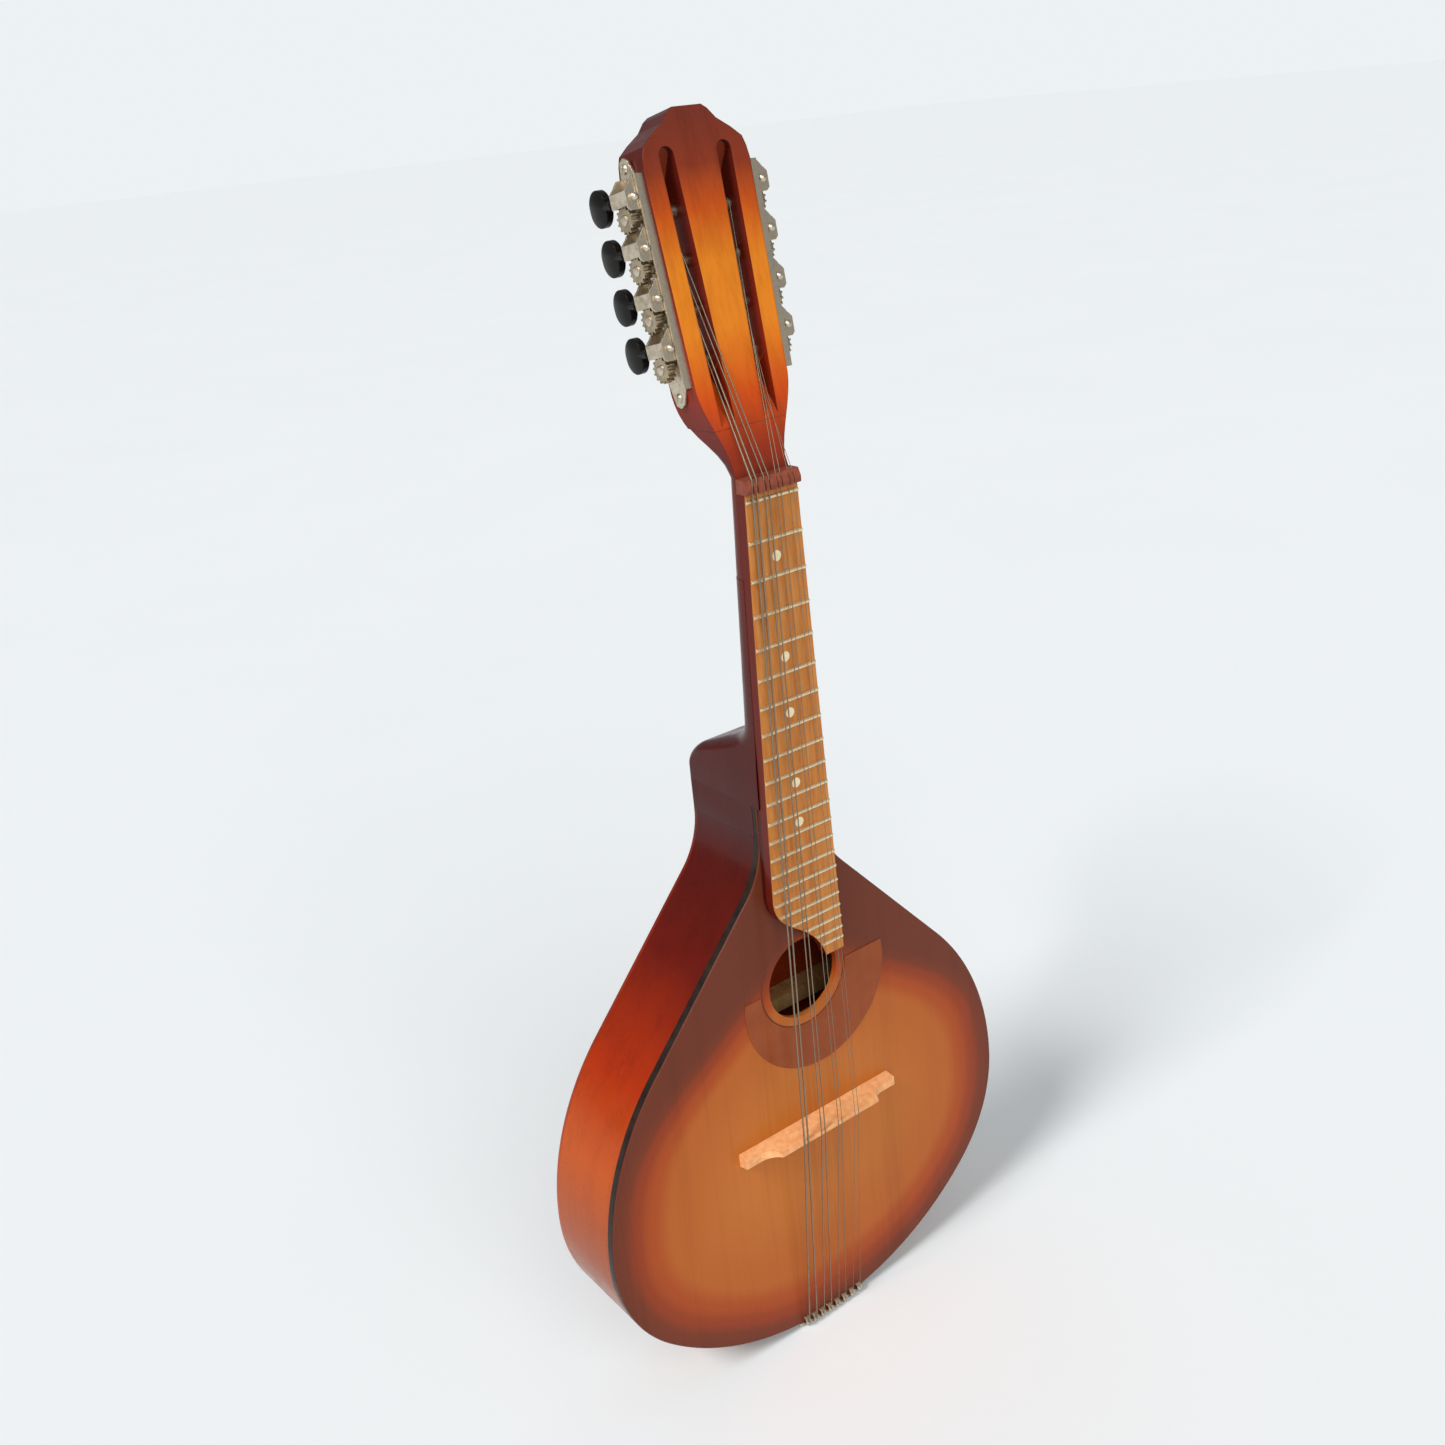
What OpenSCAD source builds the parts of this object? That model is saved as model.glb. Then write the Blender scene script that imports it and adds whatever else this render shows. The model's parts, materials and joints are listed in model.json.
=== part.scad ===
// Flat-back mandolin: teardrop body, slotted head and eight geared tuners.
// X is to the right seen from the front, Y goes into the body, Z goes up the neck.
// The origin is on the centre line, level with the fret tops, at the zero fret.

/* [Strings and scale] */
// Sounding length from the zero fret to the bridge, without compensation
scale_length = 330; // [300:1:400]
// Extra length from the nominal scale end to the bridge's string edge
bridge_compensation = 6.5; // [2:0.5:10]
// Distance between neighbouring courses at the nut
nut_course_step = 6.8; // [6:0.1:7.5]
// Distance between neighbouring courses at the bridge
bridge_course_step = 11.6; // [10:0.1:13]
// Distance between the two strings of a course
pair_step = 2.5; // [2:0.1:2.8]

/* [Fretboard] */
// Fretboard width at the zero fret
nut_width = 30; // [28:0.5:36]
// Fretboard width at the twelfth fret
twelfth_width = 39; // [36:0.5:46]
// Thickness of the fretboard
fretboard_t = 5; // [4:0.25:7]
// Height of a fret's crown above the fretboard
fret_height = 1; // [0.6:0.1:1.4]
// How far the fretboard and the nut reach past the zero fret: start of the nut
nut_gap = 3.5; // [2:0.5:6]
// Length of the nut along the neck
nut_length = 6.5; // [4:0.5:8]

/* [Neck] */
// Depth of the neck at the nut, from the fret tops to the back
neck_depth_nut = 17.5; // [16:0.5:24]
// Depth of the neck where the heel's curve starts
neck_depth_heel = 23; // [20:0.5:30]
// Height of the neck's tongue between the soundboard and the fretboard
riser_t = 3; // [2:0.5:5]

/* [Body] */
// Greatest width of the body
body_width = 262; // [215:1:320]
// Distance from the bridge's string edge down to the widest place
widest_below_bridge = 25.5; // [10:0.5:45]
// Distance from the widest place to the tail end
widest_to_tail = 104.5; // [95:0.5:130]
// Radius of the side arcs below the widest place
side_radius = 86; // [70:1:90]
// Radius of the long arcs above the widest place
upper_radius = 144; // [120:1:175]
// Angle between the neck and the straight shoulders
shoulder_angle = 42; // [36:1:48]
// Radius of the hollow curve where the shoulders leave the neck
flare_radius = 45; // [30:1:55]
// Depth of the body, from the soundboard's face to the back's face
body_depth = 53; // [40:1:75]
// Thickness of the soundboard
soundboard_t = 3; // [2.5:0.25:4]
// Thickness of the back
back_t = 2.5; // [2:0.25:4]
// Thickness of the ribs
rib_t = 2.2; // [2:0.1:3]
// Radius of the soundhole
hole_r = 22; // [18:0.5:26]
// Distance from the last fret to the soundhole's centre
hole_below_frets = 19; // [16:0.5:26]

/* [Bridge] */
// Length of the bridge across the body
bridge_length = 102; // [85:1:120]
// Length of the bridge's raised middle
bridge_middle = 66; // [50:1:80]
// Height of the bridge above the soundboard
bridge_height = 13.4; // [11:0.2:17]
// Height of the bridge's low arms
bridge_arm_h = 6.3; // [4:0.1:8]

/* [Head] */
// Angle of the head behind the neck's line
head_tilt = 11; // [6:0.5:16]
// Thickness of the head
head_t = 19; // [17:0.5:24]
// Half width of the head at its lower corner, above the waist
head_half_low = 25.4; // [24:0.1:29]
// Widening of each side of the head for each millimetre up its length
head_taper = 0.028; // [0:0.002:0.05]
// Width of each slot
slot_w = 7.6; // [6.6:0.2:9]
// Distance between neighbouring tuners
tuner_pitch = 20.8; // [17:0.2:26]

/* [Tuners] */
// Teeth on each tuner's gear
gear_teeth = 14; // [12:1:16]
// Outer radius of each gear
gear_r = 5.9; // [5.5:0.1:6.1]
// Distance from a worm's axis to its gear's axis
mesh_distance = 8; // [7.8:0.1:8.5]
// Radius of the string rollers
roller_r = 2.95; // [2.5:0.05:3.3]
// Radius of the worm's shaft
shaft_r = 1.5; // [1.2:0.05:1.8]
// Height of a tuner button, along the head
button_height = 15.7; // [12:0.1:18]
// Width of a tuner button, along its shaft
button_width = 12; // [9:0.5:13]
// Gap around turning shafts and rollers, on the radius
running_gap = 0.05; // [0.02:0.01:0.1]

/* [Hidden] */
$fn = 48;

far = 400;
cut = 0.01;

// Frets and fretboard
fret_count = 21;
marked_frets = [2, 5, 7, 10, 12];
dot_r = 2.5;
dot_depth = 0.8;
tang_w = 0.6;
tang_depth = 2.2;
fret_end_inset = 0.3;
board_end_gap = 6.8;
tongue_side = 10;
board_face = fret_height;
board_back = board_face + fretboard_t;
function fret_at(n) = scale_length * (1 - pow(2, -n / 12));
function board_half(v) = nut_width / 2 + (twelfth_width - nut_width) / 2 * v / fret_at(12);

// Body outline, measured as a distance v down from the zero fret
soundboard_y = board_back + riser_t;
back_y = soundboard_y + body_depth;
bridge_at = scale_length + bridge_compensation;
widest_at = bridge_at + widest_below_bridge;
tail_at = widest_at + widest_to_tail;
side_x = body_width / 2 - side_radius;
tail_radius = (side_x * side_x + widest_to_tail * widest_to_tail - side_radius * side_radius)
    / (2 * (widest_to_tail - side_radius));
upper_x = body_width / 2 - upper_radius;
root_half = board_half(fret_at(12));
shoulder_top = [
    upper_x + upper_radius * cos(shoulder_angle),
    widest_at - upper_radius * sin(shoulder_angle)
];
flare_end_x = root_half + flare_radius * (1 - cos(shoulder_angle));
flare_end_v = shoulder_top[1] - (shoulder_top[0] - flare_end_x) / tan(shoulder_angle);
flare_at = flare_end_v - flare_radius * sin(shoulder_angle);
seam = 0.02;
top_overlap = 17;
board_joint = flare_at - top_overlap;
binding_w = 1.5;
binding_h = 4.5;
lining_w = 5;
lining_h = 8;
brace_w = 8;
brace_h = 12;
block_l = 20;
tail_block_half = 28;
hole_at = fret_at(fret_count) + hole_below_frets;
rosette_r = 27;
rosette_w = 0.9;
rosette_depth = 0.6;
guard_r = 45.8;
guard_x = 7.6;
guard_drop = 7.8;
guard_t = 0.35;
ring_gap = 0.8;

// Head, in its own frame: x across, y into the head, z up its face
head_face_y = 5;
waist_half = 14.5;
waist_s = 12;
shoulder_s = 52;
head_cut_z = 31;
first_roller_s = 62.2;
slot_top_s = first_roller_s + 3 * tuner_pitch + 25;
slot_low_s = first_roller_s - 5.5;
slot_exit_s = slot_low_s - 24;
ramp_depth = 12;
scoop_low_s = slot_top_s - 26;
scoop_depth = 2.2;
crown_s = slot_top_s + 15.4;
crown_half = 7.5;
// The head's upper corner and the crown's shoulder: how far in or out, and how far up
corner_points = [[0.9, 0], [2.2, 4], [7.2, 8]];
crown_points = [[6.5, 12.4], [2.8, 16.6]];
back_low_d = 11.2;
back_high_s = 44;
slot_inset = 13;
side_angle = atan(head_taper);
side_x0 = head_half_low - head_taper * shoulder_s;
function smooth(t) = let (k = min(1, max(0, t))) k * k * (3 - 2 * k);
function head_side(s) = side_x0 + head_taper * s;
function head_half(s) = s > shoulder_s ? head_side(s)
    : waist_half + (head_half_low - waist_half) * smooth((s - waist_s) / (shoulder_s - waist_s));

// Tuners, in a frame on the side of the head: x out, y into the head, z up the side
plate_t = 1;
plate_front = 1.4;
plate_back = 17;
flange_w = 4.2;
worm_x = 6.2;
gear_w = 4;
gear_x = worm_x - gear_w / 2;
roller_d = 10;
bracket_front = 2.6;
bracket_back = 14.8;
ear_t = 1;
hood_x = 8.9;
journal_r = 2;
spindle_r = 1.5;
collar_r = 2.6;
collar_gap = 0.1;
peen_r = 2.2;
roller_end = slot_inset + slot_w / 2 + 5;
end_gap = 0.3;
string_hole_r = 0.7;
pitch_r = 5.5;
worm_pitch = 2 * PI * pitch_r / gear_teeth;
thread_mean_r = 2.1;
thread_swing = 0.55;
thread_front = 5;
thread_back = 13;
dome_r = 1.7;
dome_front = 0.3;
shaft_end = 24;
button_d = 28.5;
button_half_t = 2.7;
button_crown_r = 24;
button_neck_r = 2.3;
tooth_tip_w = 0.7;
tooth_root_w = 1.35;
tooth_h = 1;
screw_r = 1.2;
screw_head_r = 2.2;
screw_head_h = 1.3;
screw_l = 9;
tab_s = 4.5;
function roller_s(i) = first_roller_s + i * tuner_pitch;
plate_low_s = first_roller_s - 10;
plate_high_s = roller_s(3) + 16.6;
plate_screw_s = [plate_low_s - 3.5, (roller_s(1) + roller_s(2)) / 2 - 10.4, plate_high_s + 3.5];
plate_screw_d = [12, 15, 12];

// Tailpiece
tail_plate_half = 23;
tail_plate_t = 1.2;
tail_plate_depth = 34;
hook_step = 5.4;
hook_w = 2.8;
hook_r = 2.7;
hook_t = 1;
tail_screw_depth = 26;
tail_screw_x = 13;

// Strings: radius of the g, d, a and e courses
string_r = [0.47, 0.32, 0.19, 0.14];
string_lift = 0.02;
string_stop = 0.35;
joint_swell = 0.04;

// ---------- Frames ----------

// Extrudes a shape drawn in X and Z from one depth to another
module slab(front, back) {
    translate([0, back, 0])
        rotate([90, 0, 0])
            linear_extrude(back - front)
                children();
}

// Places pieces that are drawn in the head's own frame
module on_head() {
    translate([0, head_face_y, 0])
        rotate([-head_tilt, 0, 0])
            children();
}

// Places pieces that are drawn in a side frame; side is 1 on the right and -1 on the left
module on_side(side) {
    on_head()
        mirror([side < 0 ? 1 : 0, 0, 0])
            translate([side_x0, 0, 0])
                rotate([0, side_angle, 0])
                    children();
}

// A cylinder that points out of the head's side, from one x to another
module side_rod(r, from, to) {
    translate([from, 0, 0])
        rotate([0, 90, 0])
            cylinder(h = to - from, r = r);
}

// A cylinder that points into the head, from one y to another
module depth_rod(r, from, to) {
    translate([0, from, 0])
        rotate([-90, 0, 0])
            cylinder(h = to - from, r = r);
}

// ---------- Outlines ----------

// Right half of the body's outline as [x, distance down], moved inwards by inset.
// Four arcs that meet without a corner: tail, side, shoulder and the hollow beside the neck.
function half_outline(inset) =
    let (
        tail_c = tail_at - tail_radius,
        tail_angle = atan2(side_x, widest_at - tail_c),
        hollow_x = root_half + flare_radius
    )
    concat(
        arc(0, tail_c, tail_radius - inset, 0, tail_angle, 20),
        arc(side_x, widest_at, side_radius - inset, tail_angle, 90, 16),
        arc(upper_x, widest_at, upper_radius - inset, 90, 90 + shoulder_angle, 20),
        arc(hollow_x, flare_at, -flare_radius - inset, 90 + shoulder_angle, 90, 10),
        [[root_half - inset, flare_at], [root_half - inset, board_joint]]
    );

// Points of an arc, with angles from straight down; the last point is left to the next arc
function arc(x, v, r, from, to, steps) = [
    for (k = [0 : steps - 1])
        let (a = from + (to - from) * k / steps)
        [x + r * sin(a), v + r * cos(a)]
];

// The body's outline, drawn in X and Z and moved inwards by inset
module body_outline(inset = 0) {
    half = half_outline(inset);
    last = len(half) - 1;
    polygon(concat(
        [for (p = half) [p[0], -p[1]]],
        [for (k = [last : -1 : 1]) [-half[k][0], -half[k][1]]]
    ));
}

// Everything below a distance v from the zero fret
module below(v) {
    translate([-far, -v - 2 * far])
        square([2 * far, 2 * far]);
}

// Point k of the curve that cuts the fretboard's end back to its tongue
function cut_point(k) =
    let (
        t = k / 16,
        start = fret_at(fret_count - 5) - 2,
        end = fret_at(fret_count) + board_end_gap,
        p0 = [-board_half(start), start],
        p1 = [-board_half(start) + 0.9, start + 0.48 * (end - start)],
        p2 = [3 * tongue_side / 10, start + 0.41 * (end - start)],
        p3 = [tongue_side, end]
    )
    pow(1 - t, 3) * p0 + 3 * pow(1 - t, 2) * t * p1 + 3 * (1 - t) * t * t * p2 + t * t * t * p3;

// The fretboard's outline, drawn in X and Z
module board_outline(inset = 0) {
    end = fret_at(fret_count) + board_end_gap;
    curve = [for (k = [0:16]) cut_point(k)];
    intersection() {
        mirror([0, 1])
            polygon(concat(
                [[board_half(end), end], [board_half(-nut_gap), -nut_gap],
                 [-board_half(-nut_gap), -nut_gap]],
                [for (p = curve) p]
            ));
        mirror([0, 1])
            polygon([
                [inset - board_half(-nut_gap), -nut_gap - far],
                [inset - board_half(-nut_gap), -nut_gap],
                [inset - board_half(end), end - inset],
                [board_half(end) - inset, end - inset],
                [board_half(-nut_gap) - inset, -nut_gap],
                [board_half(-nut_gap) - inset, -nut_gap - far]
            ]);
        if (inset > 0)
            translate([inset, inset])
                mirror([0, 1])
                    polygon(concat(
                        [[far, fret_at(fret_count) + far], [far, -far], [cut_point(0)[0], -far]],
                        curve,
                        [[tongue_side, fret_at(fret_count) + far]]
                    ));
    }
}

// ---------- Body ----------

module back_plate() {
    color("#7a2a12")
        slab(back_y - back_t, back_y)
            intersection() {
                body_outline();
                below(flare_at);
            }
}

// The ribs' cross-section follows the outline and stops under the binding's ledge
module rib(side) {
    color("#b4501c")
        intersection() {
            union() {
                slab(soundboard_y + binding_h, back_y - back_t)
                    difference() {
                        body_outline();
                        body_outline(rib_t);
                    }
                slab(soundboard_y + soundboard_t, soundboard_y + binding_h)
                    difference() {
                        body_outline(binding_w);
                        body_outline(rib_t);
                    }
            }
            slab(0, far)
                intersection() {
                    below(flare_at);
                    translate([side > 0 ? 0 : -far, -2 * far])
                        square([far, 2 * far]);
                }
        }
}

// The tail's wall has holes for the tailpiece's screws
module drilled_rib(side) {
    difference() {
        rib(side);
        tail_screws();
    }
}

module rib_left() {
    drilled_rib(-1);
}

module rib_right() {
    drilled_rib(1);
}

module soundboard() {
    color("#c46a2c")
        difference() {
            slab(soundboard_y, soundboard_y + soundboard_t)
                difference() {
                    body_outline(binding_w);
                    mirror([0, 1])
                        translate([-far, board_joint - far])
                            square([2 * far, far + seam]);
                }
            translate([0, 0, -hole_at])
                depth_rod(hole_r, 0, back_y / 2, $fn = 96);
            rosette_ring(soundboard_y - 1, 0);
        }
}

// The inlaid ring around the soundhole, from a given front face
module rosette_ring(front, gap) {
    translate([0, 0, -hole_at])
        difference() {
            depth_rod(rosette_r + rosette_w / 2 - gap, front, soundboard_y + rosette_depth, $fn = 96);
            depth_rod(rosette_r - rosette_w / 2 + gap, front - 1, back_y, $fn = 96);
        }
}

module rosette() {
    color("#3a1a0c")
        difference() {
            rosette_ring(soundboard_y, 0);
            slab(0, far)
                board_outline();
        }
}

// A thin round guard below the soundhole, cut away at the ring and the fretboard
module pickguard() {
    color("#8a4520")
        difference() {
            translate([guard_x, 0, -hole_at - guard_drop])
                depth_rod(guard_r, soundboard_y - guard_t, soundboard_y, $fn = 96);
            translate([0, 0, -hole_at])
                depth_rod(rosette_r + ring_gap, 0, far, $fn = 96);
            slab(0, far)
                translate([-far, -hole_at])
                    square([2 * far, far]);
        }
}

module binding() {
    color("#2a120a")
        slab(soundboard_y, soundboard_y + binding_h)
            difference() {
                body_outline();
                body_outline(binding_w);
                translate([-far, -flare_at])
                    square([2 * far, far]);
            }
}

// The strips that widen the ribs' edges for gluing
module linings(front, back) {
    slab(front, back)
        difference() {
            intersection() {
                body_outline(rib_t);
                below(flare_at + block_l);
            }
            body_outline(rib_t + lining_w);
            translate([-tail_block_half, -tail_at])
                square([2 * tail_block_half, block_l + rib_t]);
        }
}

module top_linings() {
    color("#d9b380")
        linings(soundboard_y + soundboard_t, soundboard_y + soundboard_t + lining_h);
}

module back_linings() {
    color("#d9b380")
        linings(back_y - back_t - lining_h, back_y - back_t);
}

// Cross bars at the given distances from the zero fret, between the linings
module braces(places, front, back) {
    slab(front, back)
        intersection() {
            body_outline(rib_t + lining_w);
            union() {
                for (v = places)
                    translate([-far, -v - brace_w / 2])
                        square([2 * far, brace_w]);
            }
        }
}

module top_braces() {
    brace_front = soundboard_y + soundboard_t;
    color("#dcb987")
        braces(
            [hole_at - hole_r - 13, hole_at + hole_r + 13, bridge_at + 40],
            brace_front, brace_front + brace_h
        );
}

module back_braces() {
    color("#dcb987")
        braces(
            [hole_at - hole_r - 20, hole_at + 40, bridge_at + 40],
            back_y - back_t - brace_h, back_y - back_t
        );
}

module neck_block() {
    color("#cfa06a")
        slab(soundboard_y + soundboard_t, back_y - back_t)
            difference() {
                intersection() {
                    body_outline(rib_t);
                    below(flare_at);
                }
                below(flare_at + block_l);
            }
}

module tail_block() {
    color("#cfa06a")
        difference() {
            slab(soundboard_y + soundboard_t, back_y - back_t)
                intersection() {
                    body_outline(rib_t);
                    translate([-tail_block_half, -tail_at])
                        square([2 * tail_block_half, block_l + rib_t]);
                }
            tail_screws();
        }
}

// ---------- Neck and head ----------

// Depth of the neck's back at a distance v below the zero fret: shaft, then the heel's curve
heel_angle = 68;
heel_hollow_r = 12;
heel_round_r = 14;
heel_taper = 0.1;
heel_back_at = flare_at - 25;
heel_line_top = neck_depth_heel + heel_hollow_r * (1 - cos(heel_angle));
heel_line_end = back_y - heel_round_r * (1 - cos(heel_angle));
heel_line_v = heel_back_at - heel_round_r * sin(heel_angle);
heel_start = heel_line_v - (heel_line_end - heel_line_top) / tan(heel_angle)
    - heel_hollow_r * sin(heel_angle);
function shaft_back(v) = neck_depth_nut + (neck_depth_heel - neck_depth_nut) * v / heel_start;
function head_back(s) = back_low_d + (head_t - back_low_d) * smooth((s - waist_s) / 32);

// One station along the neck: [z, front y, back y, corner width share, corner depth share, heel taper]
function station(z, front, back, rx, ry, taper) = [z, front, back, rx, ry, taper];
function head_station(z) =
    let (
        s = z / cos(head_tilt),
        k = smooth((z - nut_gap - nut_length) / (head_cut_z - nut_gap - nut_length))
    )
    station(
        z, head_face_y + z * tan(head_tilt),
        head_face_y + z * tan(head_tilt) + head_back(s + 2) / cos(head_tilt),
        0.92 - 0.88 * k, 0.85 - 0.81 * k, 0
    );
function shaft_station(v) = station(-v, board_back, shaft_back(v), 0.92, 0.85, 0);
function heel_station(v, back, front) =
    let (k = smooth((v - heel_start) / (heel_back_at - heel_start)))
    station(
        -v, front, back, 0.92 - 0.86 * k, 0.85 - 0.82 * k,
        heel_taper * k * (1 - smooth((v - heel_back_at) / (flare_at - heel_back_at)))
    );

stations = concat(
    [for (z = [head_cut_z : -4 : nut_gap + nut_length + 3]) head_station(z)],
    [shaft_station(-nut_gap - nut_length)],
    [for (k = [0:5]) shaft_station(heel_start * k / 6)],
    [for (a = [0 : heel_angle / 6 : heel_angle - 1])
        heel_station(
            heel_start + heel_hollow_r * sin(a),
            neck_depth_heel + heel_hollow_r * (1 - cos(a)), board_back
        )],
    [for (k = [0:3])
        let (back = heel_line_top + (heel_line_end - heel_line_top) * k / 4)
        heel_station(heel_line_v - (heel_line_end - back) / tan(heel_angle), back, board_back)],
    [for (a = [heel_angle : -heel_angle / 6 : 1])
        heel_station(
            heel_back_at - heel_round_r * sin(a),
            back_y - heel_round_r * (1 - cos(a)), board_back
        )],
    [
        heel_station(heel_back_at, back_y, board_back),
        heel_station(board_joint, back_y, board_back),
        heel_station(board_joint + seam, back_y, soundboard_y + soundboard_t),
        heel_station((board_joint + flare_at) / 2, back_y, soundboard_y + soundboard_t),
        heel_station(flare_at, back_y, soundboard_y + soundboard_t)
    ]
);

// Half width of the neck at height z and depth y: it widens at the heel to meet the ribs
function neck_half(z, y) = z > nut_gap + nut_length
    ? head_half(z * cos(head_tilt) + (y - head_face_y) * sin(head_tilt))
    : let (at_board = board_half(min(-z, fret_at(12))))
        at_board + (root_half - at_board) * smooth((-z - heel_start) / (board_joint - heel_start));

corner_steps = 8;
// One half of a station's section: front corner, then the rounded back corner to the middle
function half_section(st) =
    let (
        depth = st[2] - st[1],
        ry = depth * st[4],
        taper_depth = back_y - board_back
    )
    concat(
        [[neck_half(st[0], st[1]), st[1]]],
        [for (k = [0:corner_steps])
            let (
                a = 90 * k / corner_steps,
                y = st[2] - ry + ry * sin(a),
                half = neck_half(st[0], y) * (1 - st[5] * (y - st[1]) / taper_depth),
                rx = half * st[3]
            )
            [half - rx + rx * cos(a), y]]
    );
function section(st) =
    let (half = half_section(st), last = len(half) - 1)
    concat(
        [for (p = half) [p[0], p[1], st[0]]],
        [for (k = [last : -1 : 0]) [-half[k][0], half[k][1], st[0]]]
    );

module neck_loft() {
    rings = [for (st = stations) section(st)];
    n = len(rings[0]);
    m = len(rings);
    polyhedron(
        points = [for (ring = rings) for (p = ring) p],
        faces = concat(
            [[for (k = [n - 1 : -1 : 0]) k]],
            [[for (k = [0 : n - 1]) (m - 1) * n + k]],
            [for (i = [0 : m - 2]) for (k = [0 : n - 1])
                let (next = (k + 1) % n)
                [i * n + k, i * n + next, (i + 1) * n + next, (i + 1) * n + k]]
        )
    );
}

module neck() {
    color("#4a0f08") {
        neck_loft();
        slab(board_back, soundboard_y)
            difference() {
                intersection() {
                    board_outline(0.4);
                    below(board_joint - 1);
                }
                translate([0, -hole_at])
                    circle(hole_r + 1.5, $fn = 96);
            }
    }
}

// The head's face outline, drawn across and up the face
module head_outline() {
    corner_s = slot_top_s - 3;
    right = concat(
        [for (s = [30 : 4 : shoulder_s]) [head_half(s), s]],
        [
            [head_side(corner_s - 5), corner_s - 5],
            for (p = corner_points) [head_side(corner_s) - p[0], corner_s + p[1]],
            for (p = crown_points) [crown_half + p[0], corner_s + p[1]],
            [crown_half, crown_s]
        ]
    );
    polygon(concat(right, [for (k = [len(right) - 1 : -1 : 0]) [-right[k][0], right[k][1]]]));
}

// The head's side outline, drawn into the head and up: thinner towards the waist
module head_profile() {
    run = back_high_s - waist_s;
    rise = head_t - back_low_d;
    r = (run * run + rise * rise) / (4 * rise);
    difference() {
        square([head_t, crown_s + 1]);
        translate([back_low_d, -cut])
            square([head_t, waist_s + cut]);
        intersection() {
            translate([back_low_d + r, waist_s])
                circle(r, $fn = 96);
            square([head_t + 1, waist_s + run / 2]);
        }
        difference() {
            translate([back_low_d + rise / 2, waist_s + run / 2])
                square([rise, run / 2]);
            translate([head_t - r, back_high_s])
                circle(r, $fn = 96);
        }
    }
}

// One slot, drawn in the side frame: an opening whose floor rises to the face at both ends
module head_slot() {
    r = slot_w / 2;
    ramp = atan(ramp_depth / (slot_low_s - slot_exit_s));
    translate([-slot_inset, 0, 0]) {
        intersection() {
            union() {
                translate([0, 0, slot_low_s + r])
                    depth_rod(r, -1, head_t + 1);
                translate([0, 0, slot_top_s - r])
                    depth_rod(r, -1, head_t + 1);
                translate([-r, -1, slot_low_s + r])
                    cube([slot_w, head_t + 2, slot_top_s - slot_low_s - slot_w]);
            }
            translate([-slot_w, 0, 0])
                rotate([90, 0, 90])
                    linear_extrude(2 * slot_w)
                        polygon([
                            [-2, 0], [head_t + 2, 0], [head_t + 2, scoop_low_s],
                            [scoop_depth, slot_top_s], [-2, slot_top_s + 2]
                        ]);
        }
        translate([0, 0, slot_exit_s])
            rotate([-ramp, 0, 0])
                translate([-r, -20, 0])
                    cube([slot_w, 20, 24.5]);
    }
}

module headstock() {
    color("#d9822b")
        difference() {
            on_head()
                intersection() {
                    translate([0, head_t, 0])
                        rotate([90, 0, 0])
                            linear_extrude(head_t)
                                head_outline();
                    translate([far / 2, 0, 0])
                        rotate([90, 0, -90])
                            mirror([1, 0, 0])
                                linear_extrude(far)
                                    head_profile();
                }
            translate([-far, -far, head_cut_z - 2 * far])
                cube([2 * far, 2 * far, 2 * far]);
            for (side = [-1, 1])
                on_side(side) {
                    head_slot();
                    for (i = [0:3])
                        translate([0, roller_d, roller_s(i)])
                            side_rod(roller_r + running_gap, -roller_end - end_gap, 1);
                    plate_screw_holes();
                }
        }
}

module plate_screw_holes() {
    for (k = [0:2])
        translate([0, plate_screw_d[k], plate_screw_s[k]])
            side_rod(screw_r, plate_t - screw_l, 2);
}

// ---------- Fretboard, frets and nut ----------

module fret_bar(v) {
    translate([-nut_width, 0, -v])
        rotate([0, 90, 0])
            intersection() {
                translate([0, board_face, 0])
                    cylinder(h = 2 * nut_width, r = fret_height);
                translate([-fret_height, board_face - 2 * fret_height, 0])
                    cube([2 * fret_height, 2 * fret_height, 2 * nut_width]);
            }
}

module fret_tang(v) {
    translate([-nut_width, board_face - cut, -v - tang_w / 2])
        cube([2 * nut_width, tang_depth + cut, tang_w]);
}

module frets() {
    color("#c9b98f")
        intersection() {
            slab(-1, board_back)
                board_outline(fret_end_inset);
            union() {
                for (n = [0:fret_count]) {
                    fret_bar(fret_at(n));
                    fret_tang(fret_at(n));
                }
            }
        }
}

module fretboard() {
    color("#c98a45")
        difference() {
            slab(board_face, board_back)
                board_outline();
            intersection() {
                slab(0, board_back)
                    board_outline(fret_end_inset);
                union() {
                    for (n = [0:fret_count])
                        fret_tang(fret_at(n));
                }
            }
            dot_places()
                depth_rod(dot_r, board_face - 1, board_face + dot_depth);
        }
}

module dot_places() {
    for (n = marked_frets)
        translate([0, 0, -(fret_at(n) + fret_at(n - 1)) / 2])
            children();
}

module position_dots() {
    color("#efe0c2")
        dot_places()
            depth_rod(dot_r, board_face, board_face + dot_depth);
}

nut_top = -1.6;
nut_overhang = 0.3;
nut_crest = 0.45;
nut_slot_gap = 0.06;
module nut() {
    color("#8a4a34")
        difference() {
            translate([-board_half(0) - nut_overhang, 0, 0])
                rotate([90, 0, 90])
                    linear_extrude(2 * board_half(0) + 2 * nut_overhang)
                        polygon([
                            [board_back, nut_gap],
                            [nut_top + 0.5, nut_gap],
                            [nut_top, nut_gap + 0.5],
                            [nut_top, nut_gap + nut_crest * nut_length],
                            [nut_slot_gap, nut_gap + nut_length],
                            [board_back, nut_gap + nut_length]
                        ]);
            for (course = [0:3])
                for (half = [-1, 1])
                    nut_slot(course, half);
        }
}

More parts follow.
